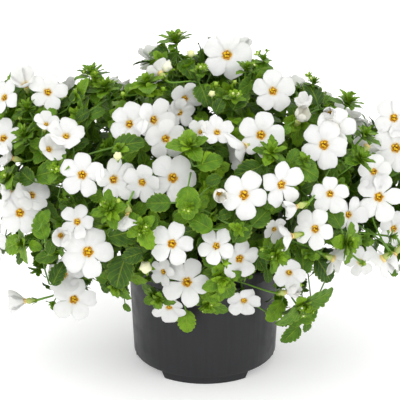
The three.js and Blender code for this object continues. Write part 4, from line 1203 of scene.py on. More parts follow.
def add_whorl(bunch, axes, radius, index, plant, spiky):
    """A shoot tip: rings of small leaves, closer and steeper towards the middle, and a bud or two."""
    kit = plant.kit
    outer, inner = (kit.small, kit.slim) if spiky else (kit.middle, kit.small)
    for level, (count, start, size, lift) in enumerate(SPIKY_RINGS if spiky else BROAD_RINGS):
        for k in range(count):
            keys = (index, level, k)
            long = radius * size * spread(0.85, 1.15, 81, *keys)
            turn = start + 360 * k / count + jitter(12, 82, *keys)
            tone = spread(0.4, 0.75, 84, *keys) + 0.06 * level - (0.1 if spiky else 0)
            add_leaf(bunch, outer if level < 2 else inner, axes, axes.point(0, 0, 0.6 * level), turn,
                     lift + jitter(9, 83, *keys), long, tone, k + level)
    for k in range(int(4 * draw(85, index))):
        turn = math.radians(spread(0, 360, 86, index, k))
        tip = axes.point(3.2 * math.cos(turn), 3.2 * math.sin(turn), spread(3, 6, 87, index, k))
        if plant.crown.clear(tip, 1.5):
            add_bud(bunch, axes, tip, index * 4 + k, kit)


def add_bud(bunch, axes, tip, index, kit):
    """A closed bud in its star of sepals, on a short stalk from the middle of a whorl."""
    bunch.tube([axes.at, axes.at.lerp(tip, 0.5) + axes.out * 0.5, tip], [0.35, 0.32, 0.4], 5, 0.8, STEM)
    lean = Axes(tip, (tip - axes.at).normalized(), axes.up)
    size = spread(0.7, 1.1, 91, index)
    bunch.place(kit.bead, lean, (0.9 * size, 0.9 * size, 1.1 * size), draw(92, index), BUD)
    for k in range(PETALS):
        add_leaf(bunch, kit.small, lean, tip, PETAL_TURN * k, 52, 3.4 * size, 0.9, k)


def stalk_way(crown, start, foot, arrive, steps):
    """A stalk's curve from a stem to what it carries, held back where it would hide a flower."""
    reach = (foot - start).length * 0.38
    inward = -outward_at((start + foot) / 2)
    best, least = None, None
    for push in STALK_PUSHES:
        path = curve((start, start + Vector((0, 0, reach)) + inward * push,
                      foot - arrive * reach + inward * push, foot), steps)
        hidden = sum(not crown.clear(point, 0.4) or not inside_outline(point, 0) for point in path[1:-2])
        if least is None or hidden < least:
            best, least = path, hidden
    return best


def add_listed_bud(plant, index, bud):
    """A bud of the list on its own stalk: a green one in its sepals, or a pale ball of folded petals."""
    column, row, wide, opened = bud
    at, pixel = lies(seat(column, row), -1)
    radius, outward = wide * pixel / 2, outward_at(at)
    start, bunch = plant.stalk_to(at, outward)
    facing = (outward + Vector((jitter(0.4, 141, index), -0.5, spread(0, 0.5, 142, index)))).normalized()
    axes = Axes(at, facing, Vector((0.2, 0.1, 1)))
    foot = axes.point(0, 0, -radius)
    path = stalk_way(plant.crown, start, foot, facing, 6)
    bunch.tube(path, [0.5, 0.45, 0.42, 0.42, 0.42, 0.5, 0.7], 6, 0.8, STEM)
    if opened > 0.5:
        bunch.place(plant.kit.furled, axes, radius, opened, BUD)
    else:
        core = (radius * 0.8, radius * 0.8, radius * 0.95)
        bunch.place(plant.kit.bead, Axes(foot, facing, axes.up), core, opened, BUD)
    for k in range(PETALS):
        add_leaf(bunch, plant.kit.slim, axes, foot, PETAL_TURN * k, 40, radius * 1.7, 0.85, k)


def leaf_fits(crown, axes, at, turn, lift, long):
    """Whether a leaf is clear of the flowers and inside the crown's outline."""
    probe = tilted(axes, at, turn, lift)
    points = [probe.point(long * part, 0, 0) for part in (0.5, 0.95)]
    return all(crown.clear(point, long * 0.3) and inside_outline(point, 2) for point in points)


def add_stem(plant, index, stem):
    """A main stem with its pairs of leaves, each pair at right angles to the next."""
    path, bunch = curve(stem["handles"], 16), plant.bunches[stem["node"]]
    bunch.tube(path, [1.15 - 0.55 * i / 16 for i in range(17)], 7, spread(0.4, 0.7, 101, index), STEM)
    pairs = max(3, round((stem["tip"] - stem["foot"]).length * 0.75 / 12))
    for k in range(pairs):
        part = 0.3 + 0.64 * (k + 0.5) / pairs
        here = bezier(stem["handles"], part)
        along = (bezier(stem["handles"], part + 0.02) - here).normalized()
        axes = Axes(here, along, stem["sideways"])
        for side in range(2):
            keys = (index, k, side)
            turn = 90 * (k % 2) + 180 * side + jitter(16, 103, *keys)
            long = spread(12, 17, 102, *keys) * (1 - 0.2 * part)
            leaf = (axes, here, turn, spread(5, 40, 104, *keys), long)
            if leaf_fits(plant.crown, *leaf):
                tone = 0.15 + 0.45 * part + spread(-0.15, 0.2, 105, *keys)
                add_leaf(bunch, plant.kit.middle, *leaf, tone, k + side)


def add_shoot(plant, target, outward, index, tone):
    """A side shoot from a stem to a target, with pairs of leaves and a small whorl at its tip.

    It grows only where enough of its leaves have room and its outer stretch hides no flower.
    """
    kit, crown = plant.kit, plant.crown
    start, bunch = plant.stalk_to(target, outward)
    span = target - start
    bulge = Vector((span[0], span[1], abs(span[2]) + 6)).normalized() * span.length * 0.18
    handles = (start, start + span * 0.3 + bulge, start + span * 0.72 + bulge * 0.8, target)
    path = curve(handles, 6)
    if not all(crown.clear(point, 0.5) for point in path[2:]):
        return
    leaves = []
    pairs = max(1, min(4, round(span.length / 9)))
    for k in range(pairs):
        part = 0.32 + 0.58 * (k + 0.5) / pairs
        here = bezier(handles, part)
        axes = Axes(here, (bezier(handles, part + 0.03) - here).normalized(), Vector((0.2, -0.3, 1)))
        for side in range(2):
            keys = (index, k, side)
            turn = 90 * ((k + index) % 2) + 180 * side + jitter(22, 112, *keys)
            leaves.append((kit.middle, axes, here, turn, spread(10, 50, 114, *keys),
                           spread(10, 15.5, 111, *keys), tone + spread(-0.12, 0.2, 113, *keys), k + side))
    tip = Axes(target, (target - path[-2]).normalized(), Vector((0.3, 0.2, 1)))
    for k in range(8):
        forms, size, start_turn = (kit.middle, 1, 0) if k < 4 else (kit.small, 0.8, 40)
        leaves.append((forms, tip, target, 75 * k + start_turn, 22 + 7 * k,
                       spread(5.5, 8.5, 115, index, k) * size, tone + spread(0.05, 0.35, 116, index, k), k))
    fitting = [leaf for leaf in leaves if leaf_fits(crown, *leaf[1:6])]
    if len(fitting) < 4:
        return
    bunch.tube(path, [0.6 - 0.22 * i / 6 for i in range(7)], 5, tone, STEM)
    for leaf in fitting:
        add_leaf(bunch, *leaf)


def add_large_leaf(plant, index, leaf):
    """A large leaf of the list on its petiole, turned to the viewer where it would show its underside."""
    bunch, axes, long = plant.bunches[leaf["node"]], leaf["axes"], leaf["long"]
    base = axes.point(-long / 2, 0, 0)
    tone = LEAF_AGES.get(index, spread(0.08, 0.6, 121, index))
    raised = (axes.out + Vector((0, -0.8, 0.5)) * smooth(-0.5, 0.2, -axes.out[2])).normalized()
    blade = Axes(base, raised, raised.cross(axes.across))
    bunch.place(plant.kit.large[index % 4], blade, long, tone, LEAF)
    path = stalk_way(plant.crown, leaf["stalk"][0], base + axes.across * 0.6, axes.across, 5)
    bunch.tube(path, [0.62, 0.55, 0.5, 0.5, 0.5, 0.45], 6, tone, STEM)


def add_tip(plant, index, whorl):
    """The whorl at a main stem's tip, brought forward to the crown's front where it faces the viewer."""
    axes, stem = whorl["axes"], whorl["stem"]
    forward = Axes(axes.at - VIEW * (TIP_SINK if axes.out[1] < 0 else 0), axes.out, axes.up)
    radius = whorl["radius"] * plant.whorl_size
    add_whorl(plant.bunches[stem["node"]], forward, radius, index, plant, stem["spiky"])


def add_pair(plant, index, pair):
    """A pair of leaves near a main stem's tip."""
    bunch, axes = plant.bunches[pair["stem"]["node"]], pair["axes"]
    for side in range(2):
        add_leaf(bunch, plant.kit.middle, axes, axes.at, 180 * side, PAIR_LIFT - LEAF_LIFT, pair["long"],
                 spread(0.3, 0.7, 122, index), index + side)


def add_pedicel(plant, index, bloom):
    """A flower's stalk and calyx."""
    start, stem = bloom["stalk"]
    bunch, face = plant.bunches[stem["node"]], bloom["axes"].out
    path = stalk_way(plant.crown, start, bloom["end"] + face * 0.4, face, 8)
    tone = spread(0.5, 0.9, 123, index)
    bunch.tube(path, [0.55, 0.5, 0.47, 0.45, 0.45, 0.45, 0.5, 0.6, 0.8], 6, tone, STEM)
    add_calyx(bunch, bloom["axes"], index, plant.kit)


def add_root(plant, index, root):
    """The short crown from which a bunch of stems grows out of the soil."""
    node = next(stem["node"] for stem in plant.stems if stem["bunch"] == index)
    heights = (SOIL_LEVEL - 8, SOIL_TOP - 2, SOIL_TOP + 1, SOIL_TOP + 3)
    path = [root + Vector((0, 0, height)) for height in heights]
    radii = [CROWN_ROOT_RADIUS - slimmer for slimmer in (0.5, 0.3, 0.9, 2.8)]
    # The low tone 0.1 paints shade on the crown at the soil, under the foliage.
    plant.bunches[node].tube(path, radii, 10, 0.1, STEM)


def add_side_shoot(plant, index, place):
    """A side shoot of the net, paler towards the top and the underside of the crown: painted light."""
    target = place["at"]
    # Painted light: the tone rises towards the top of the crown and towards its shaded underside.
    tone = 0.24 + 0.28 * smooth(60, 200, target[2]) + 0.35 * smooth(90, 60, target[2])
    tone += spread(-0.18, 0.2, 124, index)
    if "axes" in place:
        add_sprig(plant, place, index, tone)
    elif plant.crown.clear(target, 2):
        outward = Vector((target[0], target[1], target[2] - 100)).normalized()
        add_shoot(plant, target, outward, 500 + index, tone)


def add_sprig(plant, place, index, tone):
    """A side shoot of the solids: its stalk, its pair of large leaves and a whorl at its end."""
    axes, bunch = place["axes"], plant.bunches[place["node"]]
    path = stalk_way(plant.crown, place["stalk"][0], axes.at, axes.out, 6)
    # The tone carries the net's painted light: paler towards the top and the underside of the crown.
    bunch.tube(path, [0.7, 0.62, 0.58, 0.55, 0.52, 0.5, 0.45], 6, tone, STEM)
    for side in range(2):
        add_leaf(bunch, plant.kit.large, axes, axes.at, 180 * side, PAIR_LIFT - LEAF_LIFT, place["long"],
                 tone + jitter(0.15, 126, index, side), index + side)
    add_whorl(bunch, axes, spread(6.5, 9, 127, index), 700 + index, plant, index % 2)


def add_small_leaf(plant, index, leaf):
    """A smaller leaf of the list, on its own petiole, where it doesn't touch a flower."""
    column, row, wide, way, tone = leaf
    for slide in SMALL_SLIDES:
        at, pixel = lies(seat(column, row), slide)
        normal = (outward_at(at) + Vector((0, -0.7, 0.6 + jitter(0.35, 151, index)))).normalized()
        axes = Axes(at, normal, normal.cross(seen_way(math.radians(way))))
        long = wide * pixel
        if all(plant.crown.clear(axes.point(long * part, 0, 0), long * 0.2) for part in (-0.4, 0, 0.4)):
            break
    else:
        return
    base = axes.point(-long / 2, 0, 0)
    start, bunch = plant.stalk_to(base, Vector((0, 0, 0)))
    forms = plant.kit.large if wide > 17 else plant.kit.middle
    bunch.place(forms[index % 4], Axes(base, axes.out, axes.up), long, tone, LEAF)
    path = stalk_way(plant.crown, start, base + axes.across * 0.4, axes.across, 5)
    bunch.tube(path, [0.5, 0.46, 0.42, 0.4, 0.4, 0.36], 5, tone, STEM)


def inner_places():
    """Where the shaded side shoots end, behind the front ones and before the back ones."""
    places = []
    for index in range(INNER_COLUMNS * INNER_ROWS):
        column = INNER_LEFT + INNER_STEP * (index % INNER_COLUMNS + jitter(0.4, 161, index))
        row = INNER_TOP + INNER_STEP * (index // INNER_COLUMNS + jitter(0.4, 162, index))
        depth = abs(crown_front(column, row))
        places.append(spot(column, row, jitter(0.55, 163, index) * depth)[0])
    return places


def add_inner_shoot(plant, index, target):
    """A side shoot in the middle of the crown, darkened by low tones: painted shade."""
    if inside_outline(target, INNER_MARGIN) and plant.crown.clear(target, 2):
        # The low tone, 0 to 0.2, is painted shade.
        add_shoot(plant, target, outward_at(target), 900 + index, spread(0.0, 0.2, 164, index))


class Finish:
    """A material that is put together from nodes, on its shader."""

    def __init__(self, name, roughness, specular=0.5):
        self.material = bpy.data.materials.new(name)
        self.material.use_nodes = True
        self.nodes = self.material.node_tree.nodes
        self.shader = self.nodes["Principled BSDF"].inputs
        self.set(roughness=roughness, specular_ior_level=specular)

    def set(self, **values):
        """Sets values on the shader's own sockets."""
        names = {socket.name.lower().replace(" ", "_"): socket for socket in self.shader}
        for key, value in values.items():
            names[key].default_value = value

    def add(self, kind, inputs=None, **settings):
        node = self.nodes.new("ShaderNode" + kind)
        for key, value in settings.items():
            setattr(node, key, value)
        for key, value in (inputs or {}).items():
            self.feed(node.inputs[key], value)
        return node

    def feed(self, socket, value):
        if isinstance(value, bpy.types.NodeSocket):
            self.material.node_tree.links.new(value, socket)
        else:
            socket.default_value = value

    def math(self, operation, *values):
        return self.add("Math", dict(enumerate(values)), operation=operation).outputs[0]

    def times(self, a, b):
        return self.math("MULTIPLY", a, b)

    def plus(self, a, b):
        return self.math("ADD", a, b)

    def minus(self, a, b):
        return self.math("SUBTRACT", a, b)

    def between(self, value, low, high, to_low=0.0, to_high=1.0):
        limits = {"Value": value, "From Min": low, "From Max": high, "To Min": to_low, "To Max": to_high}
        return self.add("MapRange", limits, interpolation_type="SMOOTHSTEP").outputs[0]

    def surface(self):
        """The across and along of a leaf or petal, both from 0 to 1."""
        uv = self.add("UVMap", uv_map="Surface").outputs[0]
        return self.add("SeparateXYZ", {0: uv}).outputs[:2]

    def tone(self):
        return self.add("Attribute", attribute_name="tone").outputs["Fac"]

    def noise(self, scale, detail=3.0, stretch=None):
        place = self.add("TexCoord").outputs["Object"]
        if stretch:
            place = self.add("Mapping", {"Vector": place, "Scale": stretch}).outputs[0]
        return self.add("TexNoise", {"Vector": place, "Scale": scale, "Detail": detail}).outputs["Fac"]

    def uneven(self, value, noise, amount):
        """A value made uneven by a noise that swings round its middle."""
        return self.plus(value, self.times(self.minus(noise, 0.5), amount))

    def ramp(self, value, *stops):
        node = self.add("ValToRGB", {0: value})
        band = node.color_ramp.elements
        while len(band) < len(stops):
            band.new(0.5)
        for element, (at, colour) in zip(band, stops):
            element.position = at
            element.color = (*colour[:3], 1)
        return node.outputs[0]

    def mix(self, part, first, second):
        node = self.add("Mix", {0: part}, data_type="RGBA")
        for number, colour in ((6, first), (7, second)):
            fixed = not isinstance(colour, bpy.types.NodeSocket)
            self.feed(node.inputs[number], (*colour[:3], 1) if fixed else colour)
        return node.outputs[2]

    def done(self, colour, height, strength, distance):
        """Ends the material with its colour and its relief."""
        self.feed(self.shader["Base Color"], colour)
        node = self.add("Bump", {"Height": height, "Strength": strength, "Distance": distance})
        self.feed(self.shader["Normal"], node.outputs[0])
        return self.material


def shade(colour, factor):
    return tuple(part * factor for part in colour[:3])


def leaf_finish(looks):
    """Green leaf blades: older ones darker and bluer, the darkest also painted shade deep in the crown, with
    a paler midrib and side veins, and a paler margin that is a painted edge highlight.
    """
    finish = Finish("bacopa_leaf", 0.47, 0.25)
    finish.set(subsurface_weight=0.08, subsurface_radius=(0.0012, 0.002, 0.0004), subsurface_scale=0.5)
    across, along = finish.surface()
    off = finish.math("ABSOLUTE", finish.minus(across, 0.5))
    rib = finish.between(off, 0.0, 0.055, 1, 0)
    slant = finish.math("FRACT", finish.minus(finish.times(along, 5), finish.times(off, 4.2)))
    vein = finish.between(finish.math("ABSOLUTE", finish.minus(slant, 0.5)), 0.0, 0.16, 1, 0)
    veins = finish.math("MAXIMUM", rib, finish.times(vein, 0.55))
    age = finish.uneven(finish.tone(), finish.noise(260, 4), 0.7)
    # The old colour at low tones is also painted shade on the leaves deep in the crown.
    base = finish.ramp(age, (0.0, looks.leaf_old), (0.45, looks.leaf_grown), (1.0, looks.leaf_young))
    paler = finish.mix(0.36, base, looks.vein)
    # Painted highlight: the margin pales along the edge of every leaf.
    margin = finish.between(off, 0.4, 0.5, 0, 0.7)
    colour = finish.mix(finish.math("MAXIMUM", finish.times(veins, 0.85), margin), base, paler)
    return finish.done(colour, finish.minus(finish.times(finish.noise(900, 2), 0.25), veins), 0.75, 0.0005)


def stem_finish(looks):
    """Green stems with streaks, darker deep in the plant: painted shade."""
    finish = Finish("bacopa_stem", 0.5, 0.4)
    base = finish.ramp(finish.tone(), (0.0, shade(looks.stem, 0.4)), (0.6, shade(looks.stem, 0.9)),
                       (1.0, looks.stem))
    colour = finish.mix(finish.between(finish.noise(420), 0.4, 0.7, 0, 0.3), base, looks.stem_shade)
    return finish.done(colour, finish.noise(1500), 0.25, 0.0002)


def bud_finish(looks, blooms):
    """Buds, from green to the white of the petals as they ripen."""
    finish = Finish("bacopa_bud", 0.55, 0.4)
    ripe = finish.uneven(finish.tone(), finish.noise(700), 0.3)
    colour = finish.ramp(ripe, (0.0, looks.leaf_young), (0.3, looks.bud), (0.8, looks.bud_pale),
                         (1.0, blooms.petal))
    return finish.done(colour, finish.noise(1800), 0.2, 0.0002)


def petal_finish(looks):
    """White petals: a yellow halo near the throat, faint lengthwise veins and soft grey patches."""
    finish = Finish("bacopa_petal", 0.55, 0.3)
    finish.set(subsurface_weight=0.38, subsurface_radius=(0.002, 0.002, 0.0018), subsurface_scale=0.9)
    across, along = finish.surface()
    tone = finish.tone()
    colour = finish.mix(finish.between(tone, 0.0, 1.0, 0, 0.5), looks.petal, looks.petal_shade)
    colour = finish.mix(finish.between(tone, 1.0, 1.8), colour, looks.petal_folded)
    lines = finish.between(finish.math("SINE", finish.times(across, 58)), 0.2, 1.0)
    lines = finish.times(lines, finish.between(along, 0.95, 0.2, 0, 0.22))
    colour = finish.mix(lines, colour, looks.petal_shade)
    patches = finish.between(finish.noise(260, 2), 0.45, 0.75, 0, 0.35)
    colour = finish.mix(patches, colour, looks.petal_shade)
    edge = finish.plus(along, finish.times(finish.noise(1000, 2), 0.2))
    colour = finish.mix(finish.between(edge, 0.28, 0.14, 0, 0.7), colour, looks.halo)
    colour = finish.mix(finish.between(edge, 0.18, 0.1, 0, 0.45), colour, looks.throat)
    return finish.done(colour, finish.plus(finish.noise(700, 2), finish.times(lines, -1.5)), 0.25, 0.0003)


def throat_finish(looks):
    """The golden bowl, dark in its middle and flecked, and pale underneath."""
    finish = Finish("bacopa_throat", 0.5, 0.2)
    _, out = finish.surface()
    ragged = finish.uneven(out, finish.noise(700, 2), 0.5)
    base = finish.ramp(ragged, (0.3, looks.throat_deep), (0.7, looks.throat),
                       (1.0, shade(looks.throat, 1.15)))
    flecked = finish.mix(finish.between(finish.noise(1100), 0.52, 0.66, 0, 0.8), base, looks.throat_deep)
    colour = finish.mix(finish.between(out, 1.4, 1.6), flecked, looks.halo)
    return finish.done(colour, finish.noise(1600), 0.3, 0.0003)


def tube_finish(looks):
    """The flower's tube, from the halo's yellow down to green."""
    finish = Finish("bacopa_tube", 0.55, 0.35)
    _, down = finish.surface()
    base = finish.ramp(down, (0.0, looks.halo), (0.45, looks.funnel), (0.75, looks.funnel),
                       (1.0, looks.bud))
    colour = finish.mix(finish.between(finish.noise(900), 0.45, 0.75, 0, 0.5), base, looks.funnel)
    return finish.done(colour, finish.noise(1500), 0.2, 0.0002)


def anther_finish(looks):
    finish = Finish("bacopa_anther", 0.4, 0.35)
    grains = finish.between(finish.noise(2200), 0.4, 0.65)
    colour = finish.mix(grains, looks.anther, shade(looks.anther, 0.7))
    return finish.done(colour, finish.noise(4000), 0.4, 0.0002)


def pot_finish(looks):
    """Semi-matt moulded plastic, charcoal, with faint upright draw lines and light scuffs."""
    finish = Finish("pot_plastic_moulded", 0.42, 0.36)
    lines = finish.noise(420, 2, (1, 1, 0.03))
    scuffs = finish.noise(90, 5)
    base = finish.mix(finish.between(scuffs, 0.4, 0.75, 0, 0.5), looks.pot, shade(looks.pot, 1.45))
    colour = finish.mix(finish.between(lines, 0.45, 0.7, 0, 0.35), base, shade(looks.pot, 0.7))
    rough = finish.plus(finish.between(scuffs, 0.35, 0.7, 0.36, 0.52), finish.times(lines, 0.06))
    finish.feed(finish.shader["Roughness"], rough)
    return finish.done(colour, finish.plus(finish.times(finish.noise(2600, 2), 0.4), lines), 0.22, 0.0004)


def soil_finish(looks):
    """Dark crumbly potting soil."""
    finish = Finish("potting_soil_dark", 0.95, 0.2)
    crumbs = finish.noise(330, 6)
    colour = finish.ramp(crumbs, (0.3, shade(looks.soil, 0.35)), (0.55, looks.soil),
                         (0.75, shade(looks.soil, 2.1)))
    return finish.done(colour, finish.plus(crumbs, finish.times(finish.noise(1200, 4), 0.4)), 0.8, 0.002)


class Plant:
    """Everything that the frame holds of the plant, found once for all the operators."""

    found = None

    def __init__(self):
        solids = Solids()
        self.blooms = standing_blooms(solids)
        planned, self.roots = planned_stems()
        self.stems = stems = solids.all_held(map(stem_attempts, planned), HALF)
        if not self.blooms or not stems:
            raise RuntimeError("The frame holds no plant of this kind")
        leaves = (leaf_attempts(index, *leaf) for index, leaf in enumerate(FRONT_LEAVES))
        self.leaves = solids.all_held(leaves, kind="leafy")
        self.whorls = standing_rosettes(stems, solids)
        pairs = (pair_attempts(index, stem) for index, stem in enumerate(stems) if index % PAIR_EVERY == 0)
        self.pairs = solids.all_held(pairs)
        self.net = net_places(solids)
        self.sprigs = [place for place in self.net if "axes" in place]
        for leaf in self.leaves:
            base = leaf["axes"].point(-leaf["long"] * 0.45, 0, 0)
            leaf["stalk"] = stalk_between(stems, base, leaf["axes"].across, PETIOLE_RADIUS, solids)
        for place in self.sprigs:
            place["stalk"] = stalk_between(stems, place["at"], place["axes"].out, PETIOLE_RADIUS, solids)
        for bloom in self.blooms:
            bloom["end"] = bloom["axes"].point(0, 0, -TUBE_END)
            bloom["stalk"] = stalk_between(stems, bloom["end"], bloom["face"], CALYX_RADIUS, solids)
        self.open_further()
        self.crown = Crown(self.blooms)
        self.kit = Kit()

    def open_further(self):
        """Adds smaller flowers on the side that the photograph doesn't show, where there is room."""
        taken = [(bloom["axes"].at, bloom["radius"]) for bloom in self.blooms]
        taken += [(whorl["axes"].at, 2) for whorl in self.whorls]
        taken += [(place["at"], 0) for place in self.sprigs]
        for index in range(MORE_COLUMNS * MORE_ROWS):
            across = (index % MORE_COLUMNS + jitter(0.4, 171, index)) / (MORE_COLUMNS - 1)
            down = index // MORE_COLUMNS + jitter(0.4, 172, index)
            place = seat(MORE_LEFT + MORE_WIDTH * across, MORE_TOP + MORE_STEP * down, 0, -1)
            at = lies(place, MORE_SLIDE)[0]
            radius = spread(10, 13, 173, index)
            crowded = any((at - other).length < radius + room for other, room in taken)
            if crowded or not inside_outline(at, MORE_MARGIN):
                continue
            lean = Vector((jitter(0.35, 174, index), 0, spread(-0.1, 0.45, 175, index)))
            face = (outward_at(at) + lean).normalized()
            axes = Axes(at, face, upward_of(face))
            end = axes.point(0, 0, -TUBE_END)
            taken.append((at, radius))
            self.blooms.append({
                "axes": axes, "radius": radius, "side": -1, "node": "", "end": end,
                "cup": spread(4, 20, 176, index),
                "roll": jitter(36, 177, index),
                "stalk": places_near(self.stems, end, face)[0],
            })

    def stalk_to(self, point, arrive):
        """Where a new stalk to a point starts, and the bunch that it belongs to."""
        start, stem = places_near(self.stems, point, arrive)[0]
        return start, self.bunches[stem["node"]]

    def grow(self, whorl_size):
        """All green parts, gathered for each node that holds a bunch of stems."""
        self.bunches = {stem["node"]: Bunch() for stem in self.stems}
        self.whorl_size = whorl_size
        for add, items in ((add_stem, self.stems), (add_large_leaf, self.leaves),
                           (add_small_leaf, FRONT_SMALL_LEAVES), (add_tip, self.whorls),
                           (add_pair, self.pairs), (add_pedicel, self.blooms), (add_side_shoot, self.net),
                           (add_inner_shoot, inner_places()), (add_listed_bud, FRONT_BUDS),
                           (add_root, self.roots)):
            for index, item in enumerate(items):
                add(self, index, item)
        return sorted(self.bunches.items())

    def open_blooms(self):
        """The flowers, gathered for each node that holds some."""
        bunches = {}
        for index, bloom in enumerate(self.blooms):
            add_bloom(bunches.setdefault(bloom["node"], Bunch()), bloom, index, self.kit)
        return sorted(bunches.items())

    @classmethod
    def get(cls):
        cls.found = cls.found or cls()
        return cls.found


def colour_property(name, description, default):
    return bpy.props.FloatVectorProperty(name=name, description=description, default=default, size=3,
                                         min=0, max=1, subtype="COLOR")


class BACOPA_PG_foliage(bpy.types.PropertyGroup):
    leaf_young: colour_property("Young leaves", "Colour of the leaves at the shoot tips",
                                (0.24, 0.43, 0.012))
    leaf_grown: colour_property("Grown leaves", "Colour of most leaves", (0.067, 0.168, 0.002))
    # Near-black green of old leaves, given to the leaves deep in the crown: their age and painted shade.
    leaf_old: colour_property("Old leaves", "Colour of the leaves deep in the crown",
                              (0.015, 0.052, 0.0012))
    vein: colour_property("Veins", "Colour towards which midrib, veins and margin pale",
                          (0.37, 0.5, 0.045))
    stem: colour_property("Stems", "Colour of the outer stems", (0.16, 0.34, 0.03))
    stem_shade: colour_property("Stem shade", "Colour of the streaks on the stems", (0.07, 0.17, 0.015))
    bud: colour_property("Buds", "Colour of the closed buds", (0.5, 0.62, 0.12))
    bud_pale: colour_property("Opening buds", "Colour of the buds that open next", (0.78, 0.78, 0.42))
    whorl_size: bpy.props.FloatProperty(name="Whorl size",
                                        description="Size of the leaf whorls against the solids",
                                        default=1.2, min=0.5, max=2)


class BACOPA_PG_blooms(bpy.types.PropertyGroup):
    petal: colour_property("Petals", "Colour of the petals", (0.84, 0.84, 0.82))
    petal_shade: colour_property("Petal shade", "Colour of the soft patches and veins", (0.7, 0.7, 0.68))
    petal_folded: colour_property("Folded petals", "Colour of the petals of half-open flowers",
                                  (0.82, 0.81, 0.7))
    halo: colour_property("Halo", "Colour of the petals next to the throat", (0.8, 0.63, 0.24))
    funnel: colour_property("Funnel", "Colour of the outside of the throat's tube", (0.75, 0.5, 0.12))
    throat: colour_property("Throat", "Colour of the throat", (0.5, 0.235, 0.004))
    throat_deep: colour_property("Flecks", "Colour of the flecks in the throat", (0.19, 0.06, 0.001))
    anther: colour_property("Anthers", "Colour of the anthers", (0.88, 0.56, 0.015))
    bud: colour_property("Tube foot", "Colour of the tube next to the calyx", (0.4, 0.5, 0.15))


class BACOPA_PG_pot(bpy.types.PropertyGroup):
    pot: colour_property("Pot", "Colour of the moulded plastic", (0.0145, 0.0145, 0.0165))
    soil: colour_property("Soil", "Colour of the potting soil", (0.035, 0.024, 0.016))
    rim_radius: bpy.props.FloatProperty(name="Rim radius", description="Radius of the pot over its lip",
                                        default=RIM_RADIUS * MM, unit="LENGTH")
    height: bpy.props.FloatProperty(name="Height", description="Height of the pot",
                                    default=POT_HEIGHT * MM, unit="LENGTH")
    rounding: bpy.props.FloatProperty(name="Rounding", description="How far the lip's edges are rounded",
                                      default=0.0008, unit="LENGTH")


class BACOPA_PG_stage(bpy.types.PropertyGroup):
    floor: colour_property("Floor", "Colour of the floor", (0.85, 0.85, 0.85))
    # The floor glows by its own emission, though it is no lamp: painted light that lightens the shadows cast
    # on it.
    glow: bpy.props.FloatProperty(name="Floor glow", description="How strongly the emissive floor shines",
                                  default=0.28, min=0)
    backdrop: bpy.props.FloatProperty(name="Surroundings", 
                                      description="Brightness of the pale surroundings",
                                      default=1.1, min=0)
    key: bpy.props.FloatProperty(name="Main light", description="Power of the large soft light",
                                 default=8, min=0, unit="POWER")


def finished(obj, material, node, smooth_below=POT_SMOOTH):
    """Brings a piece from millimetres to metres and gives it its finish and its place in the model."""
    reshape(obj, lambda *place: Vector(place) * MM)
    obj.data.materials.clear()
    obj.data.materials.append(material)
    finish_piece(obj, [node], smooth_below)


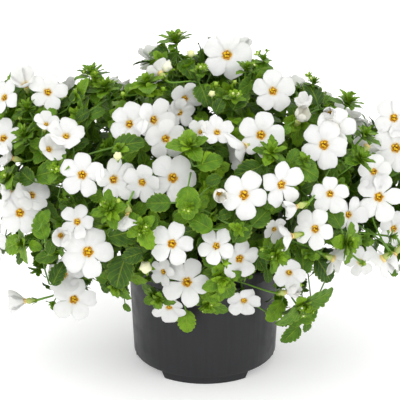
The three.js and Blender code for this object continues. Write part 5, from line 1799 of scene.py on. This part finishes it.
class BACOPA_OT_pot(bpy.types.Operator):
    """Moulds the round plastic pot with its lip, feet and drain holes"""
    bl_idname = "bacopa.pot"
    bl_label = "Pot"

    def execute(self, context):
        sizes = context.scene.bacopa_pot
        rim, top, edge = sizes.rim_radius / MM, sizes.height / MM, sizes.rounding / MM
        under = top - LIP_HEIGHT
        floor = FOOT_HEIGHT
        profile = [(0, floor), (WALL_FOOT_RADIUS - 1.6, floor), (WALL_FOOT_RADIUS - 0.5, floor + 0.3),
                   (WALL_FOOT_RADIUS, floor + 1.4)]
        for i in range(1, 8):
            part = i / 8
            profile.append((WALL_FOOT_RADIUS + (WALL_TOP_RADIUS - WALL_FOOT_RADIUS) * part,
                            floor + 1.4 + (under - floor - 1.4) * part))
        profile += [(WALL_TOP_RADIUS, under - 0.5), (WALL_TOP_RADIUS + 0.5, under), (rim - 1 - edge, under),
                    (rim - 1, under + edge * 0.4), (rim - 0.9, under + edge), (rim - 0.4, top - 3.2),
                    (rim, top - 1.6), (rim - 0.05, top - edge), (rim - edge * 0.6, top - 0.15),
                    (rim - 1.2, top), (rim - WALL - 0.2, top - 0.4), (rim - WALL - 0.6, top - 1.6),
                    (rim - WALL - 1.2, under + WALL), (WALL_TOP_RADIUS - WALL + 0.3, under - 0.3),
                    (WALL_TOP_RADIUS - WALL, under - WALL - 1),
                    (WALL_FOOT_RADIUS - WALL, floor + WALL + 0.6),
                    (WALL_FOOT_RADIUS - WALL - 0.8, floor + WALL), (0, floor + WALL)]
        obj = lathe(profile, POT_STEPS, "pot_moulded")
        for i in range(DRAIN_HOLES):
            angle = 2 * math.pi * (i + 0.5) / DRAIN_HOLES
            deselect()
            at = (DRAIN_RING * math.cos(angle), DRAIN_RING * math.sin(angle), floor)
            bpy.ops.mesh.primitive_cylinder_add(vertices=DRAIN_SIDES, radius=DRAIN_RADIUS, depth=DRAIN_DEPTH,
                                                location=at)
            drill = bpy.context.object
            apply_modifier(obj, "BOOLEAN", object=drill, operation="DIFFERENCE", solver="EXACT")
            bpy.data.objects.remove(drill)
        for i in range(FEET):
            self.foot(obj, -math.pi / 2 + 2 * math.pi * i / FEET)
        finished(obj, pot_finish(sizes), "pot")
        return {"FINISHED"}

    def foot(self, obj, middle):
        """Spins one low foot round the pot's axis and joins it to the pot."""
        outer = WALL_FOOT_RADIUS - 1.2
        start = middle + math.radians(FOOT_SPREAD / 2)
        outline = [(outer, FOOT_HEIGHT + WALL / 2), (outer, 0.5), (outer - 0.5, 0), (outer - 6.5, 0),
                   (outer - 7, 0.5), (outer - 7, FOOT_HEIGHT + WALL / 2)]
        mesh = bpy.data.meshes.new("foot")
        mesh.from_pydata([(r * math.cos(start), r * math.sin(start), z) for r, z in outline], [],
                         [list(range(len(outline)))])
        foot = new_object("foot", mesh)
        spin(FOOT_STEPS, math.radians(FOOT_SPREAD), cap=True)

        def taper(x, y, z):
            aside = (math.atan2(y, x) - middle + math.pi) % (2 * math.pi) - math.pi
            angle = middle + aside * (1 - FOOT_TAPER * (1 - z / FOOT_HEIGHT))
            return math.hypot(x, y) * math.cos(angle), math.hypot(x, y) * math.sin(angle), z

        reshape(foot, taper)
        take(obj)
        foot.select_set(True)
        bpy.ops.object.join()


class BACOPA_OT_soil(bpy.types.Operator):
    """Heaps the crumbly soil in the pot"""
    bl_idname = "bacopa.soil"
    bl_label = "Soil"

    def execute(self, context):
        side = WALL_TOP_RADIUS - WALL - 0.6
        low = FOOT_HEIGHT + WALL + GAP
        profile = [(0, low), (WALL_FOOT_RADIUS - WALL - 0.5, low), (side, SOIL_LEVEL)]
        for i in range(1, 17):
            part = 1 - i / 16
            profile.append((side * part, SOIL_LEVEL + SOIL_MOUND * (1 - part ** 2)))
        obj = lathe(profile, SOIL_STEPS, "soil_heaped")

        def crumble(x, y, z):
            radius = math.hypot(x, y)
            if z > SOIL_LEVEL - 0.1:
                swell = 0.9 * math.sin(3 * math.atan2(y, x) + radius / 9) * math.cos(radius / 7)
                crumb = jitter(0.7, 131, int(x * 7 + 900), int(y * 7 + 900))
                z += (swell + crumb) * smooth(side, side - 3, radius)
            return x, y, z

        reshape(obj, crumble)
        finished(obj, soil_finish(context.scene.bacopa_pot), "soil", SOIL_SMOOTH)
        return {"FINISHED"}


class BACOPA_OT_foliage(bpy.types.Operator):
    """Grows the stems, leaves, shoot tips, buds and flower stalks"""
    bl_idname = "bacopa.foliage"
    bl_label = "Foliage"

    def execute(self, context):
        looks = context.scene.bacopa_foliage
        materials = [leaf_finish(looks), stem_finish(looks), bud_finish(looks, context.scene.bacopa_blooms)]
        for node, bunch in Plant.get().grow(looks.whorl_size):
            piece(node + "_grown", bunch, materials, "green_foliage", node)
        return {"FINISHED"}


class BACOPA_OT_blooms(bpy.types.Operator):
    """Opens the white flowers where the solids hold them"""
    bl_idname = "bacopa.blooms"
    bl_label = "Flowers"

    def execute(self, context):
        looks = context.scene.bacopa_blooms
        materials = [petal_finish(looks), throat_finish(looks), tube_finish(looks), anther_finish(looks)]
        for node, bunch in Plant.get().open_blooms():
            nodes = [node] if node else []
            piece((node or "blooms_further") + "_open", bunch, materials, "white_petals", *nodes)
        return {"FINISHED"}


class BACOPA_OT_stage(bpy.types.Operator):
    """Sets the pale floor, the soft light and the camera"""
    bl_idname = "bacopa.stage"
    bl_label = "Stage"

    def execute(self, context):
        scene, looks = context.scene, context.scene.bacopa_stage
        deselect()
        bpy.ops.mesh.primitive_plane_add(size=FLOOR_SIZE, location=(0, 0, 0))
        floor = bpy.context.object
        floor.name = "floor"
        finish = Finish("pale_floor", 0.9, 0.1)
        # Painted light: the floor's emission lightens the shadows that the pot and the plant cast on it.
        finish.set(emission_color=(1, 1, 1, 1), emission_strength=looks.glow)
        mottled = finish.mix(finish.noise(6, 2), looks.floor, shade(looks.floor, 0.99))
        finish.feed(finish.shader["Base Color"], mottled)
        floor.data.materials.append(finish.material)
        world = bpy.data.worlds.new("surroundings")
        world.use_nodes = True
        world.node_tree.nodes["Background"].inputs[0].default_value = (1, 1, 1, 1)
        world.node_tree.nodes["Background"].inputs[1].default_value = looks.backdrop
        scene.world = world
        for name, at, size, share in LIGHTS:
            bpy.ops.object.light_add(type="AREA", location=at)
            light = bpy.context.object
            light.name = name
            light.data.size = size
            light.data.energy = looks.key * share
            light.rotation_euler = (Vector(LIGHT_AIM) - Vector(at)).to_track_quat("-Z", "Y").to_euler()
        lens = bpy.data.cameras.new("camera")
        lens.sensor_width = SENSOR
        lens.lens = SENSOR * DISTANCE / (2 * FRAME_MIDDLE * SCALE)
        lens.clip_end = CLIP_END
        camera = new_object("camera", lens)
        camera.location = eye() * MM
        camera.rotation_euler = (math.pi / 2 - ELEVATION, 0, 0)
        scene.camera = camera
        scene.view_settings.view_transform = "Standard"
        return {"FINISHED"}


class BACOPA_PT_panel(bpy.types.Panel):
    """Lists the steps that build the potted bacopa"""
    bl_label = "Potted Bacopa"
    bl_idname = "BACOPA_PT_panel"
    bl_space_type = "VIEW_3D"
    bl_region_type = "UI"
    bl_category = "Bacopa"

    def draw(self, context):
        for group, operators in GROUPS:
            box = self.layout.box()
            settings = getattr(context.scene, group)
            for key in type(settings).__annotations__:
                box.prop(settings, key)
            for operator in operators:
                box.operator(operator.bl_idname)


GROUPS = (
    ("bacopa_pot", (BACOPA_OT_pot, BACOPA_OT_soil)),
    ("bacopa_foliage", (BACOPA_OT_foliage,)),
    ("bacopa_blooms", (BACOPA_OT_blooms,)),
    ("bacopa_stage", (BACOPA_OT_stage,)),
)
SETTINGS = {
    "bacopa_pot": BACOPA_PG_pot,
    "bacopa_foliage": BACOPA_PG_foliage,
    "bacopa_blooms": BACOPA_PG_blooms,
    "bacopa_stage": BACOPA_PG_stage,
}
OPERATORS = (BACOPA_OT_pot, BACOPA_OT_soil, BACOPA_OT_foliage, BACOPA_OT_blooms, BACOPA_OT_stage)


def register():
    for item in (*SETTINGS.values(), *OPERATORS, BACOPA_PT_panel):
        bpy.utils.register_class(item)
    for key, group in SETTINGS.items():
        setattr(bpy.types.Scene, key, bpy.props.PointerProperty(type=group))


def unregister():
    for key in SETTINGS:
        delattr(bpy.types.Scene, key)
    for item in (BACOPA_PT_panel, *reversed(OPERATORS), *reversed(SETTINGS.values())):
        bpy.utils.unregister_class(item)


def main():
    register()
    bpy.ops.bacopa.pot()
    bpy.ops.bacopa.soil()
    bpy.ops.bacopa.foliage()
    bpy.ops.bacopa.blooms()
    bpy.ops.bacopa.stage()


if __name__ == "__main__":
    main()
